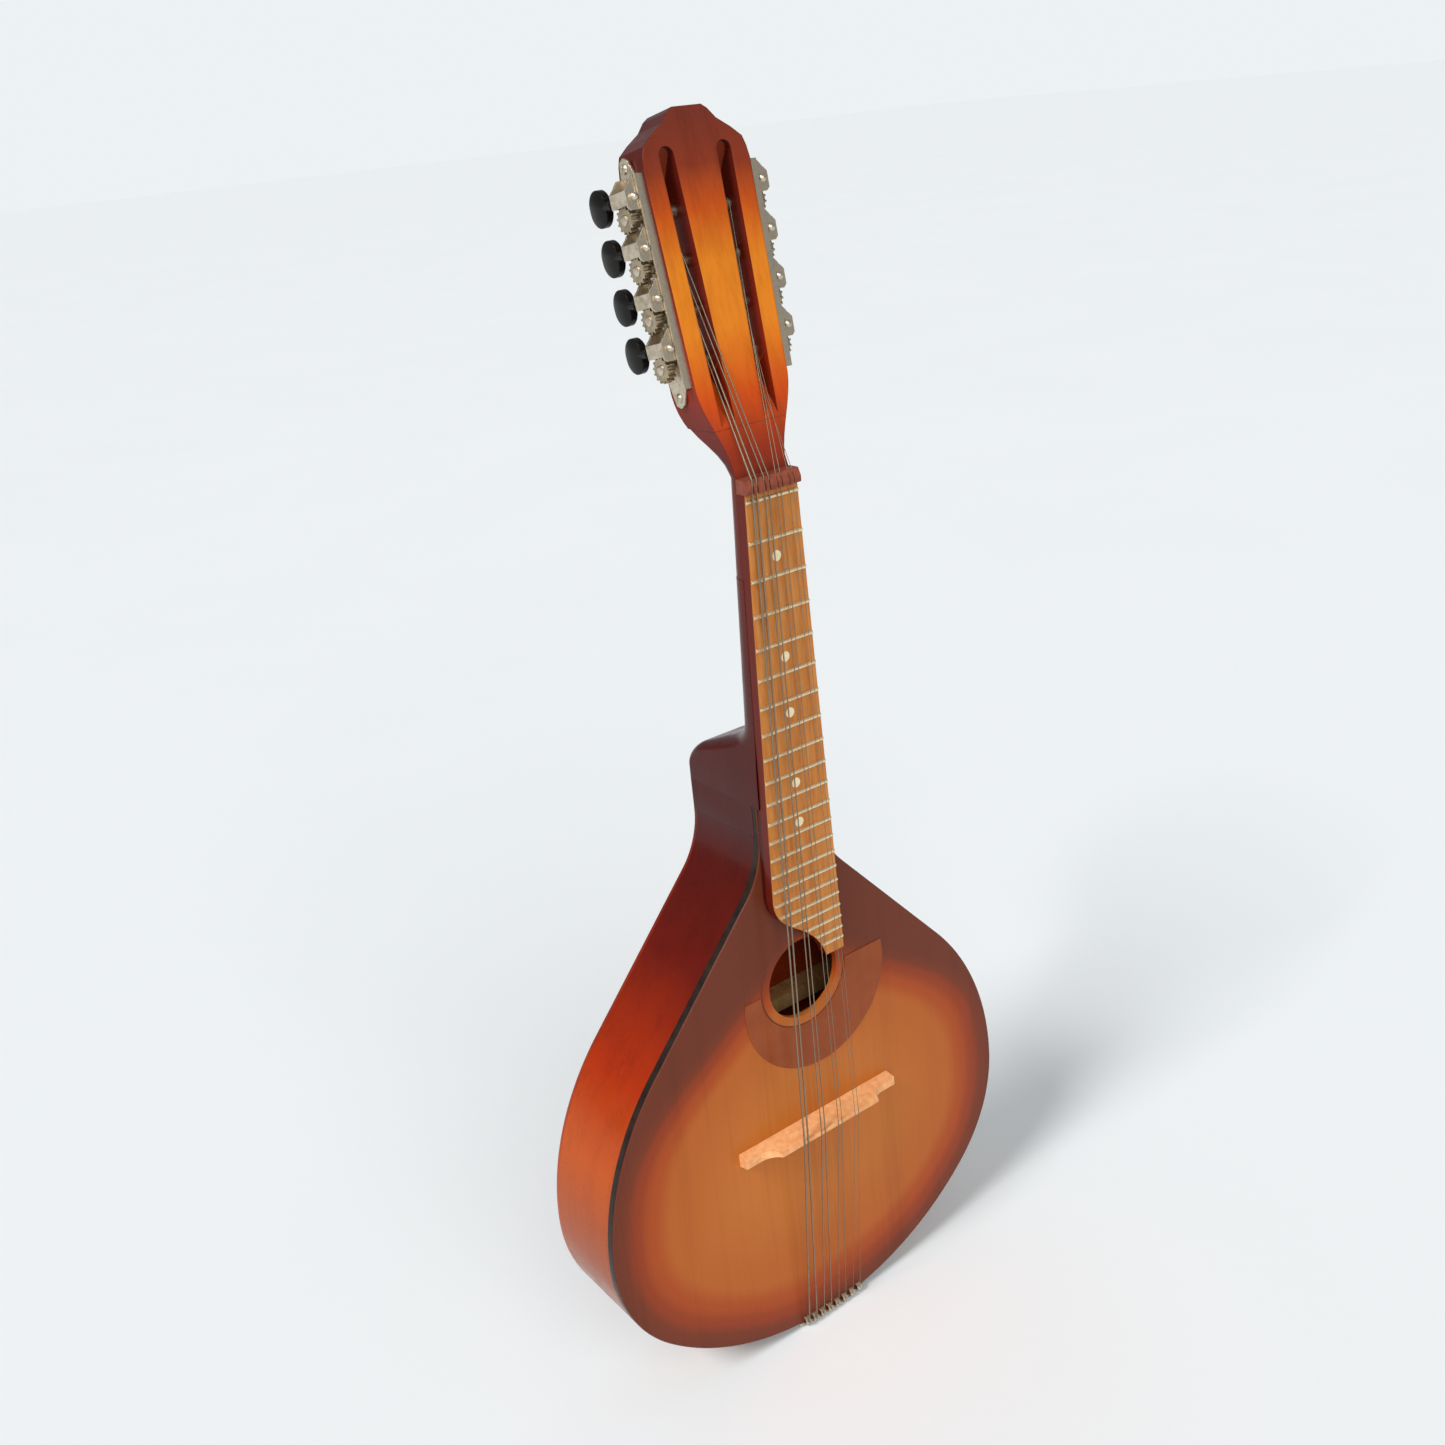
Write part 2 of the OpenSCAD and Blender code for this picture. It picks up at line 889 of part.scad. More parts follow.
// A round-bottomed slot along its string, open at the front
module nut_slot(course, half) {
    exit = nut_exit(course, half);
    up = (exit - string_bridge(course, half)) / norm(exit - string_bridge(course, half));
    r = string_r[course] + nut_slot_gap;
    translate(exit)
        rotate([-asin(up[1]), atan2(up[0], up[2]), 0])
            translate([0, 0, -nut_length - 1]) {
                cylinder(h = nut_length + 3, r = r);
                translate([-r, -6, 0])
                    cube([2 * r, 6, nut_length + 3]);
            }
}

// ---------- Bridge, tailpiece and strings ----------

bridge_top = soundboard_y - bridge_height;
bridge_foot_up = 3;
bridge_foot_down = 4.5;
bridge_edge = 1.1;
notch_gap = 0.1;
module bridge() {
    arm_y = soundboard_y - bridge_arm_h;
    scoop = bridge_length / 2 - bridge_middle / 2 - 9;
    drop = bridge_height - bridge_arm_h;
    scoop_r = (scoop * scoop + drop * drop) / (2 * drop);
    color("#e0a06a")
        difference() {
            translate([-bridge_length / 2, 0, -bridge_at])
                rotate([90, 0, 90])
                    linear_extrude(bridge_length)
                        polygon([
                            [soundboard_y, bridge_foot_up],
                            [bridge_top, bridge_edge],
                            [bridge_top, -bridge_edge],
                            [soundboard_y, -bridge_foot_down]
                        ]);
            for (side = [-1, 1])
                mirror([side < 0 ? 1 : 0, 0, 0]) {
                    translate([bridge_middle / 2 + scoop, arm_y - scoop_r, -bridge_at - 20])
                        cylinder(h = 40, r = scoop_r);
                    translate([bridge_middle / 2 + scoop, arm_y - 20, -bridge_at - 20])
                        cube([bridge_length, 20, 40]);
                }
            for (course = [0:3])
                for (half = [-1, 1])
                    translate(string_bridge(course, half) + [0, 0, -20])
                        cylinder(h = 40, r = string_r[course] + notch_gap);
        }
}

// How far the tail's arc rises at a distance x from the centre
function tail_sag(x) = tail_radius - sqrt(tail_radius * tail_radius - x * x);
function hook_x(k) = (k - 3.5) * hook_step;

module tailpiece() {
    color("#b9b2a4")
        difference() {
            union() {
                slab(soundboard_y, soundboard_y + tail_plate_depth)
                    intersection() {
                        difference() {
                            body_outline(-tail_plate_t);
                            body_outline();
                        }
                        translate([-tail_plate_half, -tail_at - 9])
                            square([2 * tail_plate_half, 18]);
                    }
                for (k = [0:7])
                    hook(hook_x(k));
            }
            tail_screws();
        }
}

// A finger that folds over the soundboard's edge
module hook(x) {
    edge = tail_at - tail_sag(x);
    translate([x - hook_w / 2, soundboard_y, hook_r - edge - tail_plate_t])
        rotate([90, 0, 90])
            linear_extrude(hook_w)
                difference() {
                    circle(hook_r);
                    circle(hook_r - hook_t);
                    translate([0, -2 * hook_r])
                        square([2 * hook_r, 4 * hook_r]);
                }
}

module tail_screws() {
    for (side = [-1, 1])
        translate([side * tail_screw_x, soundboard_y + tail_screw_depth,
                   tail_sag(tail_screw_x) - tail_at - tail_plate_t]) {
            screw(screw_l + 4);
        }
}

// A round-headed screw that points along +Z, with its head resting on Z = 0
module screw(length) {
    translate([0, 0, -screw_head_h / 2])
        cylinder(h = length + screw_head_h / 2, r = screw_r);
    screw_head();
}

module screw_head() {
    dome_c = (screw_head_r * screw_head_r - screw_head_h * screw_head_h) / (2 * screw_head_h);
    difference() {
        intersection() {
            translate([0, 0, dome_c])
                sphere(dome_c + screw_head_h);
            translate([0, 0, -screw_head_h])
                cylinder(h = screw_head_h, r = screw_head_r);
        }
        translate([-screw_head_r, -0.3, -screw_head_h - 1])
            cube([2 * screw_head_r, 0.6, 1.5]);
    }
}

module screws() {
    color("#c8c2b4") {
        tail_screws();
        for (side = [-1, 1])
            on_side(side)
                for (k = [0:2])
                    translate([plate_t, plate_screw_d[k], plate_screw_s[k]])
                        rotate([0, -90, 0])
                            screw(screw_l);
    }
}

// Where each string passes the zero fret, the bridge and its hook
function string_x(course, half, step) = (course - 1.5) * step + half * pair_step / 2;
function string_zero(course, half) =
    [string_x(course, half, nut_course_step), -string_r[course] - string_lift, 0];
function string_bridge(course, half) =
    [string_x(course, half, bridge_course_step), bridge_top, -bridge_at];
function string_tail(course, half) =
    let (x = hook_x(2 * course + (half + 1) / 2))
    [x, soundboard_y - hook_r - string_r[course] - string_lift,
     hook_r - tail_at + tail_sag(x) - tail_plate_t];

// Each course is wound on the two rollers below or above each other on its side of the head
function course_side(course) = course < 2 ? -1 : 1;
function course_roller(course, half) =
    let (pair = course == 0 || course == 3 ? 0 : 2)
    pair + (half * course_side(course) > 0 ? 0 : 1);

// A point of the side frame, in the object's own frame
function from_side(side, p) =
    let (
        u = side * (side_x0 + p[0] * cos(side_angle) + p[2] * sin(side_angle)),
        s = -p[0] * sin(side_angle) + p[2] * cos(side_angle),
        d = p[1]
    )
    [
        u,
        head_face_y + d * cos(head_tilt) + s * sin(head_tilt),
        -d * sin(head_tilt) + s * cos(head_tilt)
    ];

// The string ends a little in front of its roller; the inner courses keep off the slot's inner edge
function string_side(course, half) =
    course == 0 || course == 3
        ? (half * course_side(course) > 0 ? -0.8 : 0.8)
        : (half * course_side(course) > 0 ? 1.2 : 2.6);
function string_roller(course, half) =
    from_side(course_side(course), [
        string_side(course, half) - slot_inset,
        roller_d - roller_r - string_r[course] - string_stop,
        roller_s(course_roller(course, half))
    ]);

function nut_exit(course, half) =
    string_zero(course, half) + [0, 0, nut_gap + nut_length];

// A straight round wire between two points
module wire(a, b, r) {
    d = b - a;
    translate(a)
        rotate([0, acos(d[2] / norm(d)), atan2(d[1], d[0])])
            cylinder(h = norm(d), r = r, $fn = 16);
}

module string_path(course, half) {
    r = string_r[course];
    points = [
        string_roller(course, half), nut_exit(course, half),
        string_bridge(course, half), string_tail(course, half)
    ];
    for (k = [0:2])
        wire(points[k], points[k + 1], r);
    for (k = [1:2])
        translate(points[k])
            rotate([90, 0, 0])
                sphere(r + joint_swell, $fn = 16);
}

module course(index) {
    color("#9a8f80")
        for (half = [-1, 1])
            string_path(index, half);
}

module course_g() {
    course(0);
}

module course_d() {
    course(1);
}

module course_a() {
    course(2);
}

module course_e() {
    course(3);
}

// ---------- Tuners ----------

// The stamped plate with its front flange and four worm brackets
module tuner_plate(side) {
    color("#b8ab93")
        on_side(side)
            difference() {
                union() {
                    rotate([90, 0, 90])
                        linear_extrude(plate_t)
                            polygon([
                                [plate_front, plate_low_s], [plate_front + 4, plate_low_s],
                                [9, plate_low_s - tab_s - 2], [12, plate_low_s - tab_s - 3.5],
                                [15, plate_low_s - tab_s - 2], [plate_back, plate_low_s + 2],
                                [plate_back, plate_high_s - 2],
                                [15, plate_high_s + tab_s + 2], [12, plate_high_s + tab_s + 3.5],
                                [9, plate_high_s + tab_s + 2], [plate_front + 4, plate_high_s],
                                [plate_front, plate_high_s]
                            ]);
                    translate([0, plate_front, plate_low_s])
                        cube([flange_w, plate_t, plate_high_s - plate_low_s]);
                    for (i = [0:3])
                        bracket(roller_s(i) + mesh_distance);
                }
                for (i = [0:3]) {
                    translate([0, roller_d, roller_s(i)])
                        side_rod(journal_r + running_gap, -1, plate_t + 1);
                    translate([worm_x, 0, roller_s(i) + mesh_distance])
                        depth_rod(shaft_r + running_gap, 2, plate_back);
                }
                plate_screw_holes();
            }
}

// One bracket around a worm whose axis is at height s
module bracket(s) {
    ear(s, bracket_front, 5.2);
    ear(s, bracket_back - ear_t, 3);
    translate([hood_x, bracket_front, s - 3])
        cube([ear_t, bracket_back - bracket_front, 6]);
}

// An ear of the bracket: a leaf with a hollow upper edge, reaching low below the worm
module ear(s, front, low) {
    hollow_r = 6;
    outer = hood_x + ear_t;
    translate([0, front + ear_t, s])
        rotate([90, 0, 0])
            linear_extrude(ear_t)
                difference() {
                    polygon([
                        [0, -low], [outer - 1.5, -low], [outer, -low + 1.5],
                        [outer, 3], [5, 8.2], [0, 8.2]
                    ]);
                    translate([outer + 1.2, 8.2 + 0.6])
                        circle(hollow_r - 1);
                }
}

module tuner_plate_left() {
    tuner_plate(-1);
}

module tuner_plate_right() {
    tuner_plate(1);
}

// Tuners 1 to 4 are on the left from the nut upwards, and 5 to 8 on the right
function tuner_side(n) = n <= 4 ? -1 : 1;
function tuner_row(n) = (n - 1) % 4;

module at_worm(n) {
    on_side(tuner_side(n))
        translate([worm_x, 0, roller_s(tuner_row(n)) + mesh_distance])
            children();
}

module at_roller(n) {
    on_side(tuner_side(n))
        translate([0, roller_d, roller_s(tuner_row(n))])
            children();
}

// The thread is a round rod swung off its axis, with a groove over each tooth at rest
module worm(n) {
    length = thread_back - thread_front;
    groove = roller_d + worm_pitch / 2 - thread_front;
    color("#c2b59c")
        at_worm(n) {
            depth_rod(shaft_r, dome_front + 1, shaft_end);
            intersection() {
                depth_rod(dome_r, dome_front, bracket_front - collar_gap);
                translate([0, dome_front + 1.9, 0])
                    sphere(1.9);
            }
            translate([0, thread_front, 0])
                rotate([-90, 0, 0])
                    rotate(90 - 360 * groove / worm_pitch)
                        linear_extrude(
                            length, twist = -360 * length / worm_pitch,
                            slices = round(length / worm_pitch * 9), $fn = 12
                        )
                            translate([thread_swing, 0])
                                circle(thread_mean_r, $fn = 12);
        }
}

module button(n) {
    flat = button_height / 2 - button_width / 2;
    color("#141212")
        at_worm(n) {
            difference() {
                depth_rod(button_neck_r, bracket_back + 4, button_d);
                depth_rod(shaft_r, 0, shaft_end);
            }
            difference() {
                intersection() {
                    translate([-button_half_t, button_d, 0])
                        rotate([90, 0, 90])
                            linear_extrude(2 * button_half_t) {
                                for (side = [-1, 1])
                                    translate([0, side * flat])
                                        circle(button_width / 2);
                                square([button_width, 2 * flat], center = true);
                            }
                    translate([button_half_t - button_crown_r, button_d, 0])
                        sphere(button_crown_r, $fn = 96);
                    translate([button_crown_r - button_half_t, button_d, 0])
                        sphere(button_crown_r, $fn = 96);
                }
                depth_rod(shaft_r, 0, shaft_end);
            }
        }
}

module gear(n) {
    root_r = gear_r - tooth_h;
    color("#b39a66")
        at_roller(n)
            translate([gear_x, 0, 0])
                rotate([90, 0, 90])
                    linear_extrude(gear_w)
                        difference() {
                            union() {
                                circle(root_r);
                                for (k = [0 : gear_teeth - 1])
                                    rotate(90 + 360 * k / gear_teeth)
                                        polygon([
                                            [root_r - 0.5, -tooth_root_w / 2],
                                            [gear_r, -tooth_tip_w / 2],
                                            [gear_r, tooth_tip_w / 2],
                                            [root_r - 0.5, tooth_root_w / 2]
                                        ]);
                            }
                            circle(spindle_r);
                        }
}

module roller(n) {
    gear_end = gear_x + gear_w;
    color("#cfc8b8")
        at_roller(n)
            difference() {
                rotate([0, 90, 0])
                    rotate_extrude()
                        polygon([
                            [0, -roller_end],
                            [roller_r - 0.3, -roller_end], [roller_r, 0.3 - roller_end],
                            [roller_r, -end_gap], [journal_r, -end_gap],
                            [journal_r, plate_t + collar_gap],
                            [collar_r, plate_t + collar_gap], [collar_r, gear_x],
                            [spindle_r, gear_x], [spindle_r, gear_end],
                            [peen_r, gear_end], [peen_r, gear_end + 0.4],
                            [0.6 * peen_r, gear_end + 0.9], [0, gear_end + 1]
                        ]);
                translate([-slot_inset, -roller_r - 1, 0])
                    depth_rod(string_hole_r, 0, 2 * roller_r + 2);
            }
}

back_plate();
rib_left();
rib_right();
soundboard();
neck_block();
tail_block();
top_linings();
back_linings();
top_braces();
back_braces();
binding();
rosette();
pickguard();
neck();
headstock();
fretboard();
frets();
position_dots();
nut();
bridge();
tailpiece();
screws();
course_g();
course_d();
course_a();
course_e();
tuner_plate_left();
tuner_plate_right();
worm(1);  // worm_1
worm(2);  // worm_2
worm(3);  // worm_3
worm(4);  // worm_4
worm(5);  // worm_5
worm(6);  // worm_6
worm(7);  // worm_7
worm(8);  // worm_8
button(1);  // button_1
button(2);  // button_2
button(3);  // button_3
button(4);  // button_4
button(5);  // button_5
button(6);  // button_6
button(7);  // button_7
button(8);  // button_8
gear(1);  // gear_1
gear(2);  // gear_2
gear(3);  // gear_3
gear(4);  // gear_4
gear(5);  // gear_5
gear(6);  // gear_6
gear(7);  // gear_7
gear(8);  // gear_8
roller(1);  // roller_1
roller(2);  // roller_2
roller(3);  // roller_3
roller(4);  // roller_4
roller(5);  // roller_5
roller(6);  // roller_6
roller(7);  // roller_7
roller(8);  // roller_8
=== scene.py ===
import json
import math

import bmesh
import bpy
import numpy as np
from mathutils import Matrix, Vector
from mathutils.geometry import delaunay_2d_cdt


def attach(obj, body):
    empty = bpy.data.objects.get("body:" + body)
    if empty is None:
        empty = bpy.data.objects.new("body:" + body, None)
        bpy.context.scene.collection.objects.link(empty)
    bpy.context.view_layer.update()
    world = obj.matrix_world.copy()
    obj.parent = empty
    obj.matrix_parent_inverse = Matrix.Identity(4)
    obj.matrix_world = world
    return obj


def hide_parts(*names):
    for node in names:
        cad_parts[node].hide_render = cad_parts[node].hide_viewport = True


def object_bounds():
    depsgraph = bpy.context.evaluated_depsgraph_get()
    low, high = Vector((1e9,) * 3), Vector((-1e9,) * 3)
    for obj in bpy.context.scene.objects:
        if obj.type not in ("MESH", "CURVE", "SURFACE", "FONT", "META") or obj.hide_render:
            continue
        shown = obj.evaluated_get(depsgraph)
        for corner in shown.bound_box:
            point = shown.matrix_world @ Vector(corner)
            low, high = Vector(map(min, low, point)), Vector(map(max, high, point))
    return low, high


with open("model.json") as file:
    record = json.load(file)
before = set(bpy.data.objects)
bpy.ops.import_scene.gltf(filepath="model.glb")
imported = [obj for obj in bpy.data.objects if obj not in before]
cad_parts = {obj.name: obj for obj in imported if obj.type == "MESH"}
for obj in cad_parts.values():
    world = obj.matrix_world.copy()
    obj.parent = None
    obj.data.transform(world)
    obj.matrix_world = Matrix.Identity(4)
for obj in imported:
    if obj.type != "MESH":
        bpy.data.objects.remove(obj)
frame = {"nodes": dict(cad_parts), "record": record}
cad_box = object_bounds()
nodes = frame["nodes"]
MM = 0.001

# ---------- Sizes of the instrument, in millimetres ----------
SCALE = 330.0
WIDEST_AT = 362.0
TAIL_AT = 466.5
HALF_WIDTH = 131.0
SIDE_R = 86.0
UPPER_R = 144.0
SHOULDER = 42.0
FLARE_R = 45.0
ROOT_HALF = 19.5
BOARD_BACK = 6.0
SOUNDBOARD_Y = 9.0
SOUNDBOARD_T = 3.0
BACK_Y = 62.0
BACK_T = 2.5
HEAD_TILT = math.radians(11.0)
HEAD_FACE_Y = 5.0
BINDING_W = 1.5
BINDING_H = 4.5
RIB_T = 2.2
HOLE_R = 22.0
HOLE_AT = SCALE * (1 - 2 ** (-21 / 12)) + 19.0
ROSETTE_R = 27.0
ROSETTE_W = 0.9
SIDE_X0 = 23.944
HEAD_TAPER = 0.028
SIDE_ANGLE = math.atan(HEAD_TAPER)
NUT_HALF = 15.0
WAIST_HALF, WAIST_S, SHOULDER_S = 14.5, 12.0, 52.0
SLOT_INSET = 13.0
ROLLER_D = 10.0
ROLLER_R = 2.95
FIRST_ROLLER_S = 62.2
TUNER_PITCH = 20.8
STRING_R = (0.47, 0.32, 0.19, 0.14)


# ---------- Node helpers ----------
class Nodes:
    """A short way to write a material's node tree."""

    def __init__(self, name):
        self.mat = bpy.data.materials.new(name)
        self.mat.use_nodes = True
        self.tree = self.mat.node_tree
        self.tree.nodes.clear()
        self.out = self.tree.nodes.new("ShaderNodeOutputMaterial")
        self.bsdf = self.tree.nodes.new("ShaderNodeBsdfPrincipled")
        self.link(self.bsdf.outputs[0], self.out.inputs[0])

    def new(self, kind, **props):
        n = self.tree.nodes.new(kind)
        for k, v in props.items():
            setattr(n, k, v)
        return n

    def link(self, a, b):
        self.tree.links.new(a, b)

    def put(self, socket, value):
        if isinstance(value, bpy.types.NodeSocket):
            self.link(value, socket)
        elif value is not None:
            socket.default_value = value

    def place(self, scale=(1, 1, 1), rotate=(0, 0, 0), shift=(0, 0, 0)):
        """Position in the row frame, in metres, stretched."""
        c = self.new("ShaderNodeTexCoord")
        m = self.new("ShaderNodeMapping")
        self.link(c.outputs["Object"], m.inputs["Vector"])
        m.inputs["Scale"].default_value = scale
        m.inputs["Rotation"].default_value = rotate
        m.inputs["Location"].default_value = shift
        return m.outputs[0]

    def xyz(self, vector=None):
        if vector is None:
            vector = self.new("ShaderNodeTexCoord").outputs["Object"]
        n = self.new("ShaderNodeSeparateXYZ")
        self.link(vector, n.inputs[0])
        return n.outputs

    def noise(self, vector, scale=1.0, detail=3.0, rough=0.55, warp=0.0):
        n = self.new("ShaderNodeTexNoise")
        self.put(n.inputs["Vector"], vector)
        n.inputs["Scale"].default_value = scale
        n.inputs["Detail"].default_value = detail
        n.inputs["Roughness"].default_value = rough
        n.inputs["Distortion"].default_value = warp
        return n.outputs["Fac"]

    def attribute(self, name):
        n = self.new("ShaderNodeAttribute", attribute_name=name)
        return n.outputs["Fac"]

    def calc(self, op, a, b=None, c=None, clamp=False):
        n = self.new("ShaderNodeMath", operation=op, use_clamp=clamp)
        for socket, v in zip(n.inputs, (a, b, c)):
            self.put(socket, v)
        return n.outputs[0]

    def remap(self, v, lo, hi, to_lo=0.0, to_hi=1.0, smooth=True):
        n = self.new(
            "ShaderNodeMapRange",
            interpolation_type="SMOOTHSTEP" if smooth else "LINEAR",
        )
        for socket, x in zip(n.inputs, (v, lo, hi, to_lo, to_hi)):
            self.put(socket, x)
        return n.outputs[0]

    def ramp(self, fac, stops, kind="LINEAR"):
        n = self.new("ShaderNodeValToRGB")
        r = n.color_ramp
        r.interpolation = kind
        while len(r.elements) < len(stops):
            r.elements.new(0.5)
        for e, (at, colour) in zip(r.elements, stops):
            e.position = at
            e.color = (*colour, 1.0) if len(colour) == 3 else colour
        self.put(n.inputs[0], fac)
        return n.outputs[0]

    def mix(self, fac, a, b, blend="MIX"):
        n = self.new("ShaderNodeMix", data_type="RGBA", blend_type=blend)
        self.put(n.inputs[0], fac)
        for socket, v in zip((n.inputs[6], n.inputs[7]), (a, b)):
            if isinstance(v, tuple):
                v = (*v, 1.0) if len(v) == 3 else v
            self.put(socket, v)
        return n.outputs[2]

    def bump(self, height, distance=0.0002, strength=1.0, normal=None):
        n = self.new("ShaderNodeBump")
        n.inputs["Distance"].default_value = distance
        n.inputs["Strength"].default_value = strength
        self.put(n.inputs["Height"], height)
        self.put(n.inputs["Normal"], normal)
        return n.outputs[0]

    def rounded(self, radius_mm):
        n = self.new("ShaderNodeBevel", samples=4)
        n.inputs["Radius"].default_value = radius_mm * MM
        return n.outputs[0]

    def surface(self, colour=None, rough=None, normal=None, metal=0.0, coat=0.0, coat_rough=0.05,
                ior=1.5, coat_normal=None):
        b = self.bsdf.inputs
        if isinstance(colour, tuple):
            colour = (*colour, 1.0)
        self.put(b["Base Color"], colour)
        self.put(b["Roughness"], rough)
        self.put(b["Normal"], normal)
        self.put(b["Metallic"], metal)
        b["Coat Weight"].default_value = coat
        b["Coat Roughness"].default_value = coat_rough
        b["IOR"].default_value = ior
        self.put(b["Coat Normal"], coat_normal)
        return self.mat


def srgb(r, g, b):
    """A colour given as screen values from 0 to 255."""
    return tuple(
        (c / 255 / 12.92) if c / 255 <= 0.04045 else ((c / 255 + 0.055) / 1.055) ** 2.4
        for c in (r, g, b)
    )


# ---------- Materials ----------
def lacquer_wood(name, colour_of, grain_axis="Z", grain=0.25, rough=0.3, edge=0.5, coat=0.06):
    """Lacquered wood: colour_of(nodes) gives the sprayed colour, over straight grain."""
    m = Nodes(name)
    long, cross = 9.0, 520.0
    scale = {"Z": (cross, cross, long), "X": (long, cross, cross)}[grain_axis]
    fibres = m.noise(m.place(scale), 1.0, 4.0, 0.6)
    bands = m.noise(m.place(tuple(s * 0.16 for s in scale)), 1.0, 3.0, 0.5, 0.3)
    tone = m.calc("ADD", m.calc("MULTIPLY", fibres, 0.55), m.calc("MULTIPLY", bands, 0.75))
    shade = m.ramp(tone, [(0.42, (1 - grain,) * 3), (0.7, (1.0, 1.0, 1.0))])
    colour = m.mix(1.0, colour_of(m), shade, "MULTIPLY")
    marks = m.noise(m.place(), 60.0, 6.0, 0.7)
    r = m.remap(marks, 0.35, 0.75, rough, rough + 0.16)
    base = m.rounded(edge) if edge else None
    n = m.bump(tone, 0.00006, 0.5, base)
    n = m.bump(m.noise(m.place(), 35.0, 2.0, 0.4), 0.0006, 0.25, n)
    m.surface(colour, r, n, coat=coat, coat_rough=0.12, ior=1.45)
    m.bsdf.inputs["Specular IOR Level"].default_value = 0.16
    return m.mat


def metal(name, tint, dark, rough=0.25, edge=0.25, patina=0.35):
    m = Nodes(name)
    spots = m.noise(m.place(), 420.0, 6.0, 0.7)
    cloud = m.noise(m.place(), 110.0, 4.0, 0.6)
    brushed = m.noise(m.place((2600, 2600, 160)), 1.0, 3.0, 0.6)
    wear = m.calc("ADD", m.calc("MULTIPLY", spots, 0.5), m.calc("MULTIPLY", cloud, 0.5))
    colour = m.mix(m.remap(wear, 0.4, 0.72, 0.0, patina), tint, dark)
    r = m.remap(wear, 0.35, 0.7, rough, rough + 0.28)
    n = m.bump(brushed, 0.00002, 0.5, m.rounded(edge) if edge else None)
    n = m.bump(spots, 0.00005, 0.35, n)
    return m.surface(colour, r, n, metal=1.0)


def top_colour(m):
    x, y, z = m.xyz()
    rim = m.attribute("rim")
    wobble = m.calc("MULTIPLY", m.calc("SUBTRACT", m.noise(m.place(), 9.0, 2.0, 0.5), 0.5), 10.0)
    rim = m.calc("ADD", rim, wobble)
    near_neck = m.remap(z, -0.33, -0.19, 0.0, 40.0)
    rim = m.calc("SUBTRACT", rim, near_neck)
    return m.ramp(m.calc("DIVIDE", rim, 100.0), [
        (0.0, srgb(104, 48, 30)), (0.06, srgb(112, 50, 28)), (0.14, srgb(140, 56, 24)),
        (0.23, srgb(162, 70, 24)), (0.36, srgb(174, 92, 34)), (0.9, srgb(184, 106, 42)),
    ], "EASE")


def rib_colour_with_painted_reflection(m):
    x, y, z = m.xyz()
    t = m.calc("ADD", z, m.calc("MULTIPLY", m.noise(m.place(), 12.0, 2.0), 0.02))
    # Painted reflection: the pale beige first stops at the tail end stand for the floor's light reflected in
    # the glossy rib. Further up, the ramp is the sprayed burst, darkening to deep red towards the neck.
    along = m.ramp(m.remap(t, -0.46, -0.14, 0.0, 1.0, False), [
        (0.0, srgb(150, 98, 52)), (0.12, srgb(136, 72, 28)), (0.26, srgb(140, 62, 12)),
        (0.5, srgb(178, 74, 8)), (0.62, srgb(158, 42, 4)), (0.76, srgb(94, 16, 5)), (1.0, srgb(58, 11, 7)),
    ])
    return along


def back_colour(m):
    x, y, z = m.xyz()
    bands = m.noise(m.place((9, 9, 70)), 1.0, 3.0, 0.6, 0.6)
    return m.ramp(m.calc("ADD", m.remap(z, -0.42, -0.14, 0.0, 0.8, False), m.calc("MULTIPLY", bands, 0.2)), [
        (0.0, srgb(176, 76, 26)), (0.4, srgb(160, 60, 20)), (0.65, srgb(120, 32, 14)), (1.0, srgb(72, 12, 9)),
    ])


def binding_colour(m):
    """The front corner shares the top's sprayed colour; the side is a dark strip."""
    g = m.new("ShaderNodeNewGeometry")
    nx, ny, nz = m.xyz(g.outputs["Normal"])
    front = m.remap(m.calc("MULTIPLY", ny, -1.0), 0.25, 0.75)
    dark = m.ramp(m.noise(m.place(), 160.0, 3.0), [(0.3, srgb(30, 22, 20)), (0.7, srgb(48, 34, 28))])
    return m.mix(front, dark, top_colour(m))


def head_colour(m):
    x, y, z = m.xyz()
    t = m.calc("ADD", z, m.calc("MULTIPLY", m.noise(m.place(), 22.0, 2.0), 0.012))
    face = m.ramp(m.remap(t, 0.005, 0.165, 0.0, 1.0, False), [
        (0.0, srgb(112, 44, 30)), (0.14, srgb(150, 52, 28)), (0.28, srgb(196, 74, 20)),
        (0.45, srgb(214, 122, 30)), (0.62, srgb(212, 122, 30)), (0.76, srgb(186, 78, 20)),
        (0.87, srgb(128, 50, 28)), (1.0, srgb(110, 46, 32)),
    ])
    g = m.new("ShaderNodeNewGeometry")
    nx, ny, nz = m.xyz(g.outputs["True Normal"])
    front = m.remap(m.calc("MULTIPLY", ny, -1.0), 0.3, 0.8)
    side = m.ramp(m.remap(t, 0.02, 0.16, 0.0, 1.0, False), [
        (0.0, srgb(88, 20, 12)), (0.3, srgb(140, 40, 16)), (0.6, srgb(110, 30, 16)), (1.0, srgb(78, 24, 18)),
    ])
    return m.mix(front, side, face)


def neck_colour(m):
    """Dark red along the neck; above the nut it takes on the head's colours."""
    x, y, z = m.xyz()
    dark = m.ramp(m.remap(z, -0.17, 0.01, 0.0, 1.0, False), [
        (0.0, srgb(64, 15, 10)), (0.5, srgb(74, 18, 11)), (1.0, srgb(98, 30, 17)),
    ])
    return m.mix(m.remap(z, 0.004, 0.016), dark, head_colour(m))


def board_colour(m):
    g = m.new("ShaderNodeNewGeometry")
    nx, ny, nz = m.xyz(g.outputs["True Normal"])
    front = m.remap(m.calc("MULTIPLY", ny, -1.0), 0.5, 0.8)
    fleck = m.noise(m.place((420, 420, 26)), 1.0, 5.0, 0.7)
    honey = m.ramp(fleck, [(0.3, srgb(166, 94, 40)), (0.5, srgb(190, 120, 56)), (0.75, srgb(206, 142, 76))])
    return m.mix(front, srgb(92, 24, 14), honey)


